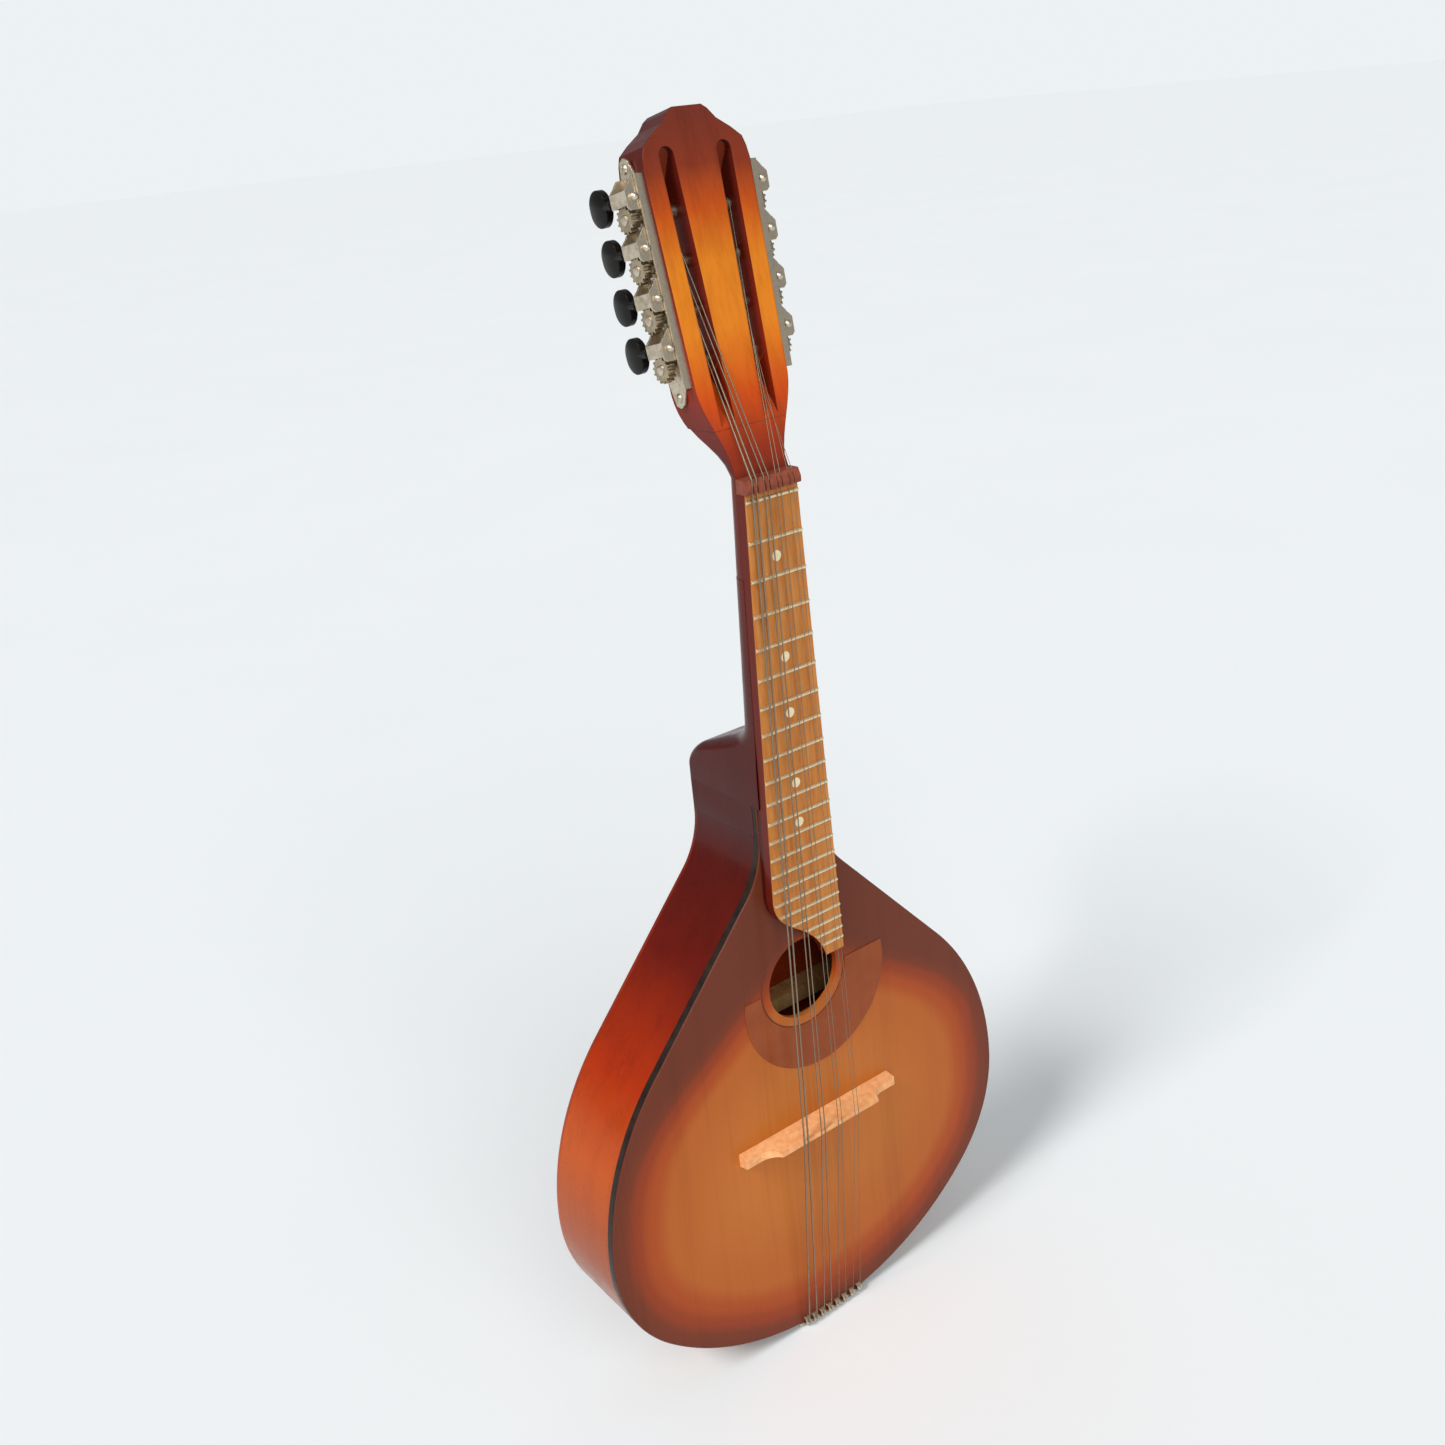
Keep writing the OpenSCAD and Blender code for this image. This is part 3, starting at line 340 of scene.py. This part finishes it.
def plain(colour, other, scale=(90, 90, 90), lo=0.35, hi=0.7):
    def of(m):
        return m.ramp(m.noise(m.place(scale), 1.0, 4.0, 0.6), [(lo, colour), (hi, other)])
    return of


MATERIALS = {
    "top": lacquer_wood("top_lacquer", top_colour, grain=0.16, rough=0.34, edge=0.0),
    "rib": lacquer_wood("rib_lacquer", rib_colour_with_painted_reflection, grain=0.2, rough=0.2, edge=0.0, coat=0.06),
    "back": lacquer_wood("back_lacquer", back_colour, grain=0.22, rough=0.2, edge=0.0, coat=0.06),
    "neck": lacquer_wood("neck_lacquer", neck_colour, grain=0.2, rough=0.22, edge=0.8, coat=0.06),
    "head": lacquer_wood("head_lacquer", head_colour, grain=0.22, rough=0.26, edge=1.0, coat=0.06),
    "board": lacquer_wood("board_lacquer", board_colour, grain=0.2, rough=0.3, edge=0.4),
    "inner": lacquer_wood("bare_wood", plain(srgb(176, 128, 78), srgb(206, 164, 108)), grain=0.3, rough=0.7,
                          edge=0.3, coat=0.0),
    "bridge": lacquer_wood("bridge_maple", plain(srgb(222, 152, 98), srgb(236, 180, 126), (300, 300, 300)),
                           "X", grain=0.15, rough=0.45, edge=0.3, coat=0.06),
    "nut": lacquer_wood("nut_wood", plain(srgb(122, 60, 44), srgb(146, 78, 58), (300, 300, 300)), "X",
                        grain=0.25, rough=0.35, edge=0.4),
    "binding": lacquer_wood("binding", binding_colour, grain=0.16, rough=0.25, edge=0.0),
    "guard": lacquer_wood("guard", plain(srgb(138, 66, 31), srgb(146, 73, 35)), grain=0.12, rough=0.16,
                          edge=0.1),
    "fret": metal("fret_metal", (0.92, 0.76, 0.50), (0.50, 0.38, 0.22), 0.3),
    "nickel": metal("worn_nickel", (0.66, 0.57, 0.44), (0.24, 0.18, 0.11), 0.26, patina=0.7),
    "steel": metal("tuner_steel", (0.66, 0.58, 0.46), (0.26, 0.20, 0.13), 0.24, patina=0.6),
    "brass": metal("worn_brass", (0.46, 0.38, 0.26), (0.20, 0.15, 0.09), 0.3, patina=0.8),
    "string": metal("string_wire", (0.30, 0.23, 0.16), (0.14, 0.10, 0.07), 0.34, 0.0),
    "button": lacquer_wood("button_black", plain((0.006, 0.005, 0.005), (0.010, 0.009, 0.008)), grain=0.1,
                           rough=0.2, edge=0.6),
    "dot": lacquer_wood("dot_cream", plain(srgb(226, 208, 168), srgb(238, 224, 190), (500, 500, 500)),
                        grain=0.05, rough=0.25, edge=0.1),
}
SLOT_LOOK = {
    "body_wood": "rib", "top_wood": "top", "inner_wood": "inner", "binding": "binding", "pickguard": "guard",
    "neck_wood": "neck", "head_wood": "head", "fretboard_wood": "board", "fret_metal": "fret", "dots": "dot",
    "nut_wood": "nut", "bridge_wood": "bridge", "nickel": "nickel", "steel": "steel", "brass": "brass",
    "button_plastic": "button", "string_steel": "string",
}


def dress(obj, look):
    obj.data.materials.clear()
    obj.data.materials.append(MATERIALS[look])


for part in frame["record"]["subparts"]:
    dress(nodes[part["node"]], SLOT_LOOK[part["material_slot"]])

# ---------- Body outline ----------
SIDE_X = HALF_WIDTH - SIDE_R
DROP = TAIL_AT - WIDEST_AT
TAIL_R = (SIDE_X**2 + DROP**2 - SIDE_R**2) / (2 * (DROP - SIDE_R))
UPPER_X = HALF_WIDTH - UPPER_R
BEND = math.radians(SHOULDER)
SHOULDER_TOP = (UPPER_X + UPPER_R * math.cos(BEND), WIDEST_AT - UPPER_R * math.sin(BEND))
FLARE_END_X = ROOT_HALF + FLARE_R * (1 - math.cos(BEND))
FLARE_END_V = SHOULDER_TOP[1] - (SHOULDER_TOP[0] - FLARE_END_X) / math.tan(BEND)
FLARE_AT = FLARE_END_V - FLARE_R * math.sin(BEND)
BOARD_JOINT = FLARE_AT - 17.0


def half_outline(inset=0.0, step=1.6, top=None):
    """Right half of the outline from the tail up, as (x, distance down), moved inwards by inset."""
    tail_c = TAIL_AT - TAIL_R
    tail_angle = math.atan2(SIDE_X, WIDEST_AT - tail_c)
    quarter = math.pi / 2
    arcs = [
        (0.0, tail_c, TAIL_R, TAIL_R - inset, 0.0, tail_angle),
        (SIDE_X, WIDEST_AT, SIDE_R, SIDE_R - inset, tail_angle, quarter),
        (UPPER_X, WIDEST_AT, UPPER_R, UPPER_R - inset, quarter, quarter + BEND),
        (ROOT_HALF + FLARE_R, FLARE_AT, FLARE_R, -FLARE_R - inset, quarter + BEND, quarter),
    ]
    points = []
    for x, v, full_r, r, a0, a1 in arcs:
        n = max(4, round(full_r * abs(a1 - a0) / step))
        if full_r == FLARE_R:
            first = (x + r * math.sin(a0), v + r * math.cos(a0))
            k = max(2, round(math.dist(SHOULDER_TOP, (FLARE_END_X, FLARE_END_V)) / step))
            begin = (UPPER_X + (UPPER_R - inset) * math.sin(a0), WIDEST_AT + (UPPER_R - inset) * math.cos(a0))
            points += [tuple(b + (f - b) * i / k for b, f in zip(begin, first)) for i in range(k)]
        points += [(x + r * math.sin(a0 + (a1 - a0) * i / n), v + r * math.cos(a0 + (a1 - a0) * i / n))
                   for i in range(n)]
    points.append((ROOT_HALF - inset, FLARE_AT))
    if top is not None:
        k = max(1, round((FLARE_AT - top) / step))
        points += [(ROOT_HALF - inset, FLARE_AT + (top - FLARE_AT) * i / k) for i in range(1, k + 1)]
    return points


def whole_outline(inset=0.0, step=1.6, top=None):
    """From the neck's right side round the tail to its left side."""
    half = half_outline(inset, step, top)
    return half[::-1] + [(-x, v) for x, v in half[1:]]


RIM = np.array(whole_outline(0.0, 1.0, 60.0))


def distance_to(starts, ends, points):
    """Distance from each point to the nearest of the straight pieces from starts to ends."""
    along = ends - starts
    best = np.empty(len(points))
    for i in range(0, len(points), 2000):
        p = points[i:i + 2000]
        t = ((p[:, None] - starts[None]) * along[None]).sum(2) / (along**2).sum(1)[None]
        near = starts[None] + np.clip(t, 0, 1)[..., None] * along[None]
        best[i:i + 2000] = np.sqrt(((p[:, None] - near) ** 2).sum(2)).min(1)
    return best


# ---------- Mesh helpers: points are in millimetres ----------
def piece(name, verts, faces, body, slot, look, replaces=(), sharp=40.0):
    mesh = bpy.data.meshes.new(name)
    mesh.from_pydata([Vector(v) * MM for v in verts], [], faces)
    bm = bmesh.new()
    bm.from_mesh(mesh)
    bmesh.ops.remove_doubles(bm, verts=bm.verts, dist=1e-7)
    bmesh.ops.recalc_face_normals(bm, faces=bm.faces)
    for f in bm.faces:
        f.smooth = True
    for e in bm.edges:
        if len(e.link_faces) == 2 and e.calc_face_angle(0.0) > math.radians(sharp):
            e.smooth = False
    bm.to_mesh(mesh)
    bm.free()
    o = bpy.data.objects.new(name, mesh)
    bpy.context.scene.collection.objects.link(o)
    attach(o, body)
    if replaces:
        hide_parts(*replaces)
    mesh.materials.append(MATERIALS[look])
    return o


def store_rim(o):
    co = np.array([v.co for v in o.data.vertices]) / MM
    rim = distance_to(RIM[:-1], RIM[1:], np.stack([co[:, 0], -co[:, 2]], 1))
    data = o.data.attributes.new("rim", "FLOAT", "POINT")
    data.data.foreach_set("value", rim.astype(np.float32))


def swept(rings):
    """A closed solid through a row of rings; its two ends are closed with flat faces."""
    n = len(rings[0])
    verts = [p for ring in rings for p in ring]
    faces = [(i * n + k, i * n + (k + 1) % n, (i + 1) * n + (k + 1) % n, (i + 1) * n + k)
             for i in range(len(rings) - 1) for k in range(n)]
    faces.append(tuple(range(n)))
    faces.append(tuple((len(rings) - 1) * n + k for k in range(n)))
    return verts, faces


def outline_strip(section, line):
    """Sweeps a loop of (inset, y) points along the outline; line(inset) gives its points."""
    rows = [line(inset) for inset, y in section]
    return swept([[(rows[k][i][0], section[k][1], -rows[k][i][1]) for k in range(len(section))]
                  for i in range(len(rows[0]))])


def inside(path, points):
    """Which points lie inside a closed path."""
    a, b = path, np.roll(path, -1, 0)
    x, y = points[:, 0][:, None], points[:, 1][:, None]
    over = (a[None, :, 1] > y) != (b[None, :, 1] > y)
    with np.errstate(divide="ignore", invalid="ignore"):
        at = ((b[None, :, 0] - a[None, :, 0]) * (y - a[None, :, 1]) / (b[None, :, 1] - a[None, :, 1])
              + a[None, :, 0])
    return (over & (x < at)).sum(1) % 2 == 1


def filled(loops, extra=()):
    """Fills the first loop around the other loops: (points, triangles)."""
    points, edges = [], []
    for loop in loops:
        start = len(points)
        points += loop
        edges += [(start + i, start + (i + 1) % len(loop)) for i in range(len(loop))]
    made = delaunay_2d_cdt([Vector(p) for p in [*points, *extra]], edges, [], 1, 1e-6)
    flat, tris = [tuple(p) for p in made[0]], made[2]
    centre = np.array([[sum(flat[i][k] for i in t) / 3 for k in (0, 1)] for t in tris])
    in_hole = np.zeros(len(tris), bool)
    for hole in loops[1:]:
        in_hole |= inside(np.array(hole), centre)
    return flat, [t for t, c in zip(tris, in_hole) if not c]


def grid_between(loops, spacing):
    """Points spaced over the first loop, clear of its edge and of the other loops."""
    path = np.array(loops[0])
    (x0, v0), (x1, v1) = path.min(0), path.max(0)
    grid = []
    v, row = v0 + spacing, 0
    while v < v1:
        x = x0 + (spacing / 2 if row % 2 else spacing)
        while x < x1:
            grid.append((x, v))
            x += spacing
        v += spacing * 0.87
        row += 1
    grid = np.array(grid)
    clear = 0.6 * spacing
    keep = inside(path, grid) & (distance_to(path, np.roll(path, -1, 0), grid) > clear)
    for hole in loops[1:]:
        path = np.array(hole)
        keep &= ~inside(path, grid) & (distance_to(path, np.roll(path, -1, 0), grid) > clear)
    return [tuple(p) for p in grid[keep]]


def panel(holes, edge_rows, spacing=3.0):
    """A flat board with holes, from loops of (x, distance down).
    edge_rows holds the outer wall's (loop, y) rows from the front to the back."""
    front_loop, front = edge_rows[0]
    back_loop, back = edge_rows[-1]
    flat, tris = filled([front_loop] + holes, grid_between([front_loop] + holes, spacing))
    verts = [(x, front, -v) for x, v in flat]
    faces = [tuple(t) for t in tris]
    for hole in holes:
        base, n = len(verts), len(hole)
        verts += [(x, front, -v) for x, v in hole] + [(x, back, -v) for x, v in hole]
        faces += [(base + i, base + (i + 1) % n, base + n + (i + 1) % n, base + n + i) for i in range(n)]
    base, n = len(verts), len(front_loop)
    for loop, y in edge_rows:
        verts += [(x, y, -v) for x, v in loop]
    for start in range(base, base + (len(edge_rows) - 1) * n, n):
        faces += [(start + i, start + (i + 1) % n, start + n + (i + 1) % n, start + n + i) for i in range(n)]
    flat, tris = filled([back_loop] + holes)
    base = len(verts)
    verts += [(x, back, -v) for x, v in flat]
    faces += [tuple(base + i for i in t) for t in tris]
    return verts, faces


def circle(r, v, n=96):
    return [(r * math.sin(2 * math.pi * i / n), v + r * math.cos(2 * math.pi * i / n)) for i in range(n)]


# ---------- Body pieces ----------
SIDE_BOTTOM = BACK_Y - BACK_T
EDGE = 0.8
turns = [math.pi / 2 * i / 4 for i in range(5)]

top_loop = whole_outline(BINDING_W, 1.6, BOARD_JOINT)
top_board = piece(
    "top_board",
    *panel([circle(ROSETTE_R + ROSETTE_W / 2, HOLE_AT)],
           [(top_loop, SOUNDBOARD_Y), (top_loop, SOUNDBOARD_Y + SOUNDBOARD_T)]),
    "body", "top_wood", "top", ("soundboard",),
)
store_rim(top_board)
hole_edge = circle(ROSETTE_R - ROSETTE_W / 2, HOLE_AT)
hole_ring = piece(
    "hole_ring",
    *panel([circle(HOLE_R, HOLE_AT)],
           [(hole_edge, SOUNDBOARD_Y), (hole_edge, SOUNDBOARD_Y + SOUNDBOARD_T)], 2.0),
    "body", "top_wood", "top",
)
store_rim(hole_ring)
section = [(BINDING_W, SOUNDBOARD_Y + BINDING_H), (BINDING_W, SOUNDBOARD_Y)] + [
    (EDGE * (1 - math.sin(t)), SOUNDBOARD_Y + EDGE * (1 - math.cos(t))) for t in turns
] + [(0.0, SOUNDBOARD_Y + BINDING_H)]
edge_binding = piece(
    "edge_binding", *outline_strip(section, lambda inset: whole_outline(inset, 1.6, BOARD_JOINT)),
    "body", "binding", "binding", ("binding",),
)
store_rim(edge_binding)

LEDGE = SOUNDBOARD_Y + BINDING_H
SEAM = 0.01
for side, name in ((-1, "rib_left"), (1, "rib_right")):
    def line(inset, side=side):
        return [(side * x, v) for x, v in half_outline(inset, 1.6)]
    section = [(0.0, LEDGE + SEAM), (0.0, SIDE_BOTTOM - SEAM), (RIB_T, SIDE_BOTTOM - SEAM),
               (RIB_T, SOUNDBOARD_Y + SOUNDBOARD_T + SEAM),
               (BINDING_W + SEAM, SOUNDBOARD_Y + SOUNDBOARD_T + SEAM), (BINDING_W + SEAM, LEDGE + SEAM)]
    piece(name + "_bent", *outline_strip(section, line), "body", "body_wood", "rib", (name,))

back_rows = [(whole_outline(0.0, 2.0), SIDE_BOTTOM)] + [
    (whole_outline(EDGE * (1 - math.cos(t)), 2.0), BACK_Y - EDGE * (1 - math.sin(t))) for t in turns
]
piece("back_board", *panel([], back_rows, 8.0), "body", "body_wood", "back", ("back_plate",))


# ---------- Neck ----------
NUT_END = 10.0
DEPTH_NUT, DEPTH_HEEL = 17.5, 23.0
HEEL_ANGLE, HOLLOW_R, ROUND_R = math.radians(68), 12.0, 14.0
HEEL_BACK_AT = FLARE_AT - 25
LINE_TOP = DEPTH_HEEL + HOLLOW_R * (1 - math.cos(HEEL_ANGLE))
LINE_END = BACK_Y - ROUND_R * (1 - math.cos(HEEL_ANGLE))
LINE_V = HEEL_BACK_AT - ROUND_R * math.sin(HEEL_ANGLE)
HEEL_START = LINE_V - (LINE_END - LINE_TOP) / math.tan(HEEL_ANGLE) - HOLLOW_R * math.sin(HEEL_ANGLE)
BOARD_LIFT = SOUNDBOARD_Y + SOUNDBOARD_T


def ease(t):
    t = min(1.0, max(0.0, t))
    return t * t * (3 - 2 * t)


def fret_at(n):
    """Distance of a fret from the zero fret."""
    return SCALE * (1 - 2 ** (-n / 12))


def board_half(v):
    return NUT_HALF + (ROOT_HALF - NUT_HALF) * v / fret_at(12)


def head_half(s):
    """Half width of the head at a distance up its face: narrow at the waist, full above the shoulder."""
    if s > SHOULDER_S:
        return SIDE_X0 + HEAD_TAPER * s
    full = SIDE_X0 + HEAD_TAPER * SHOULDER_S
    return WAIST_HALF + (full - WAIST_HALF) * ease((s - WAIST_S) / (SHOULDER_S - WAIST_S))


def neck_half(z, y):
    if z > NUT_END:
        return head_half(z * math.cos(HEAD_TILT) + (y - HEAD_FACE_Y) * math.sin(HEAD_TILT))
    at_board = board_half(min(-z, fret_at(12)))
    return at_board + (ROOT_HALF - at_board) * ease((-z - HEEL_START) / (BOARD_JOINT - HEEL_START))


def heel(v, back, front=BOARD_BACK):
    k = ease((v - HEEL_START) / (HEEL_BACK_AT - HEEL_START))
    return (-v, front, back, 0.92 - 0.86 * k, 0.85 - 0.82 * k)


def shaft(v):
    return (-v, BOARD_BACK, DEPTH_NUT + (DEPTH_HEEL - DEPTH_NUT) * v / HEEL_START, 0.92, 0.85)


fine = [i / 12 for i in range(12)]
stations = [shaft(HEEL_START * t) for t in fine]
stations += [heel(HEEL_START + HOLLOW_R * math.sin(HEEL_ANGLE * t),
                  DEPTH_HEEL + HOLLOW_R * (1 - math.cos(HEEL_ANGLE * t))) for t in fine]
stations += [heel(LINE_V - (1 - t) * (LINE_END - LINE_TOP) / math.tan(HEEL_ANGLE),
                  LINE_TOP + (LINE_END - LINE_TOP) * t) for t in fine]
stations += [heel(HEEL_BACK_AT - ROUND_R * math.sin(HEEL_ANGLE * (1 - t)),
                  BACK_Y - ROUND_R * (1 - math.cos(HEEL_ANGLE * (1 - t)))) for t in fine]
stations += [heel(HEEL_BACK_AT + (BOARD_JOINT - HEEL_BACK_AT) * t / 3, BACK_Y) for t in (0, 1, 2, 3)]
stations += [heel(BOARD_JOINT + 0.02, BACK_Y, BOARD_LIFT), heel(FLARE_AT, BACK_Y, BOARD_LIFT)]


SKIN_FROM = 4
SKIN_T = 0.12


def neck_ring(z, front, back, rx, ry, steps=10):
    """The neck's section at a height: flat in front, with round corners behind."""
    half = [(neck_half(z, front) + SKIN_T, front)]
    depth = (back - front) * ry
    for k in range(steps + 1):
        a = math.pi / 2 * k / steps
        y = back - depth + depth * math.sin(a)
        wide = neck_half(z, y) + SKIN_T
        half.append((wide - wide * rx * (1 - math.cos(a)), min(y + SKIN_T, BACK_Y)))
    return [(x, y, z) for x, y in half] + [(-x, y, z) for x, y in reversed(half)]


piece("neck_lacquered", *swept([neck_ring(*st) for st in stations[SKIN_FROM:]]), "body", "neck_wood", "neck")

# ---------- String coils on the rollers ----------
def from_side(side, p):
    """A point of a tuner side's frame: across from the plate, into the head, and up the head."""
    u = side * (SIDE_X0 + p[0] * math.cos(SIDE_ANGLE) + p[2] * math.sin(SIDE_ANGLE))
    s = -p[0] * math.sin(SIDE_ANGLE) + p[2] * math.cos(SIDE_ANGLE)
    return (u, HEAD_FACE_Y + p[1] * math.cos(HEAD_TILT) + s * math.sin(HEAD_TILT),
            -p[1] * math.sin(HEAD_TILT) + s * math.cos(HEAD_TILT))


def tube(path, r, sides=8):
    """A closed round wire along a path."""
    rings = []
    across = None
    for i, p in enumerate(path):
        ahead = (Vector(path[min(i + 1, len(path) - 1)]) - Vector(path[max(i - 1, 0)])).normalized()
        if across is None:
            across = ahead.orthogonal().normalized()
        across = (across - ahead * across.dot(ahead)).normalized()
        other = ahead.cross(across)
        rings.append([tuple(Vector(p) + (across * math.cos(2 * math.pi * k / sides)
                                         + other * math.sin(2 * math.pi * k / sides)) * r)
                      for k in range(sides)])
    return swept(rings)


for tuner in range(8):
    side = -1 if tuner < 4 else 1
    row = tuner % 4
    outer_pair = row < 2
    course = (0 if outer_pair else 1) if side < 0 else (3 if outer_pair else 2)
    r = STRING_R[course]
    first = row % 2 == 0
    start = {True: {True: -0.8, False: 0.8}, False: {True: 1.2, False: 2.6}}[outer_pair][first] - SLOT_INSET
    loops = 4 if r > 0.25 else 6
    way = 1 if start < -SLOT_INSET + 1.5 else -1
    middle = FIRST_ROLLER_S + TUNER_PITCH * row
    path = []
    for i in range(loops * 16 + 1):
        a = 2 * math.pi * i / 16
        across = start + way * i / 16 * (2 * r + 0.06)
        ring = ROLLER_R + r + 0.02
        path.append(from_side(side, (across, ROLLER_D - ring * math.cos(a), middle + ring * math.sin(a))))
    piece("coil_%d" % (tuner + 1), *tube(path, r), "post_%d" % (tuner + 1), "string_steel", "string")

# ---------- Camera ----------
CAMERA_AT = Vector((-0.39883, -0.51454, 0.16257))
CAMERA_AZIMUTH = math.radians(34.925)
CAMERA_DOWN = math.radians(22.322)
CAMERA_ROLL = math.radians(-5.948)
FOCAL_MM = 37.59

look = Vector((
    math.sin(CAMERA_AZIMUTH) * math.cos(CAMERA_DOWN),
    math.cos(CAMERA_AZIMUTH) * math.cos(CAMERA_DOWN),
    -math.sin(CAMERA_DOWN),
))
level = look.cross(Vector((0, 0, 1))).normalized()
above = level.cross(look)
right = level * math.cos(CAMERA_ROLL) + above * math.sin(CAMERA_ROLL)
up = right.cross(look)
turn = Matrix((right, up, -look)).transposed()

camera_data = bpy.data.cameras.new("camera")
camera = bpy.data.objects.new("camera", camera_data)
bpy.context.scene.collection.objects.link(camera)
camera.matrix_world = Matrix.Translation(CAMERA_AT) @ turn.to_4x4()
camera_data.lens = FOCAL_MM
camera_data.sensor_width = 36.0
camera_data.clip_start = 0.01
camera_data.clip_end = 50.0
bpy.context.scene.camera = camera

# ---------- Floor and light ----------
floor_z = cad_box[0].z - 0.0004


def quad(name, corners):
    mesh = bpy.data.meshes.new(name)
    mesh.from_pydata(corners, [], [tuple(range(len(corners)))])
    o = bpy.data.objects.new(name, mesh)
    bpy.context.scene.collection.objects.link(o)
    return o


floor = quad("floor", [(-30, -30, floor_z), (30, -30, floor_z), (30, 30, floor_z), (-30, 30, floor_z)])
paper = Nodes("paper")
paper.surface(
    paper.ramp(paper.noise(paper.place(), 3.0, 2.0),
               [(0.3, (0.790, 0.821, 0.845)), (0.7, (0.800, 0.831, 0.855))]),
    0.9, paper.bump(paper.noise(paper.place(), 300.0, 3.0), 0.0002, 0.2),
)
floor.data.materials.append(paper.mat)

bpy.context.scene.view_settings.view_transform = "Standard"
world = bpy.data.worlds.new("studio")
bpy.context.scene.world = world
world.use_nodes = True
background = world.node_tree.nodes["Background"]
PAPER = (0.845, 0.880, 0.896)
background.inputs[0].default_value = (*PAPER, 1)
paths = world.node_tree.nodes.new("ShaderNodeLightPath")
strength = world.node_tree.nodes.new("ShaderNodeMapRange")
strength.inputs["To Min"].default_value = 0.36
strength.inputs["To Max"].default_value = 1.0
world.node_tree.links.new(paths.outputs["Is Camera Ray"], strength.inputs["Value"])
world.node_tree.links.new(strength.outputs[0], background.inputs[1])


def lamp(name, towards, power, softness, colour=(1, 1, 1)):
    """A far studio light; towards is the direction from the object to the light."""
    data = bpy.data.lights.new(name, "SUN")
    data.energy = power
    data.angle = softness
    data.color = colour
    o = bpy.data.objects.new(name, data)
    bpy.context.scene.collection.objects.link(o)
    o.rotation_euler = Vector(towards).to_track_quat("Z", "Y").to_euler()
    return o


lamp("key", (-0.9, -0.2, 0.95), 2.3, 0.3, (1.0, 0.985, 0.96))
lamp("front", (-0.35, -1.0, 0.62), 1.55, 0.9, (1.0, 0.99, 0.97))

bpy.context.view_layer.update()
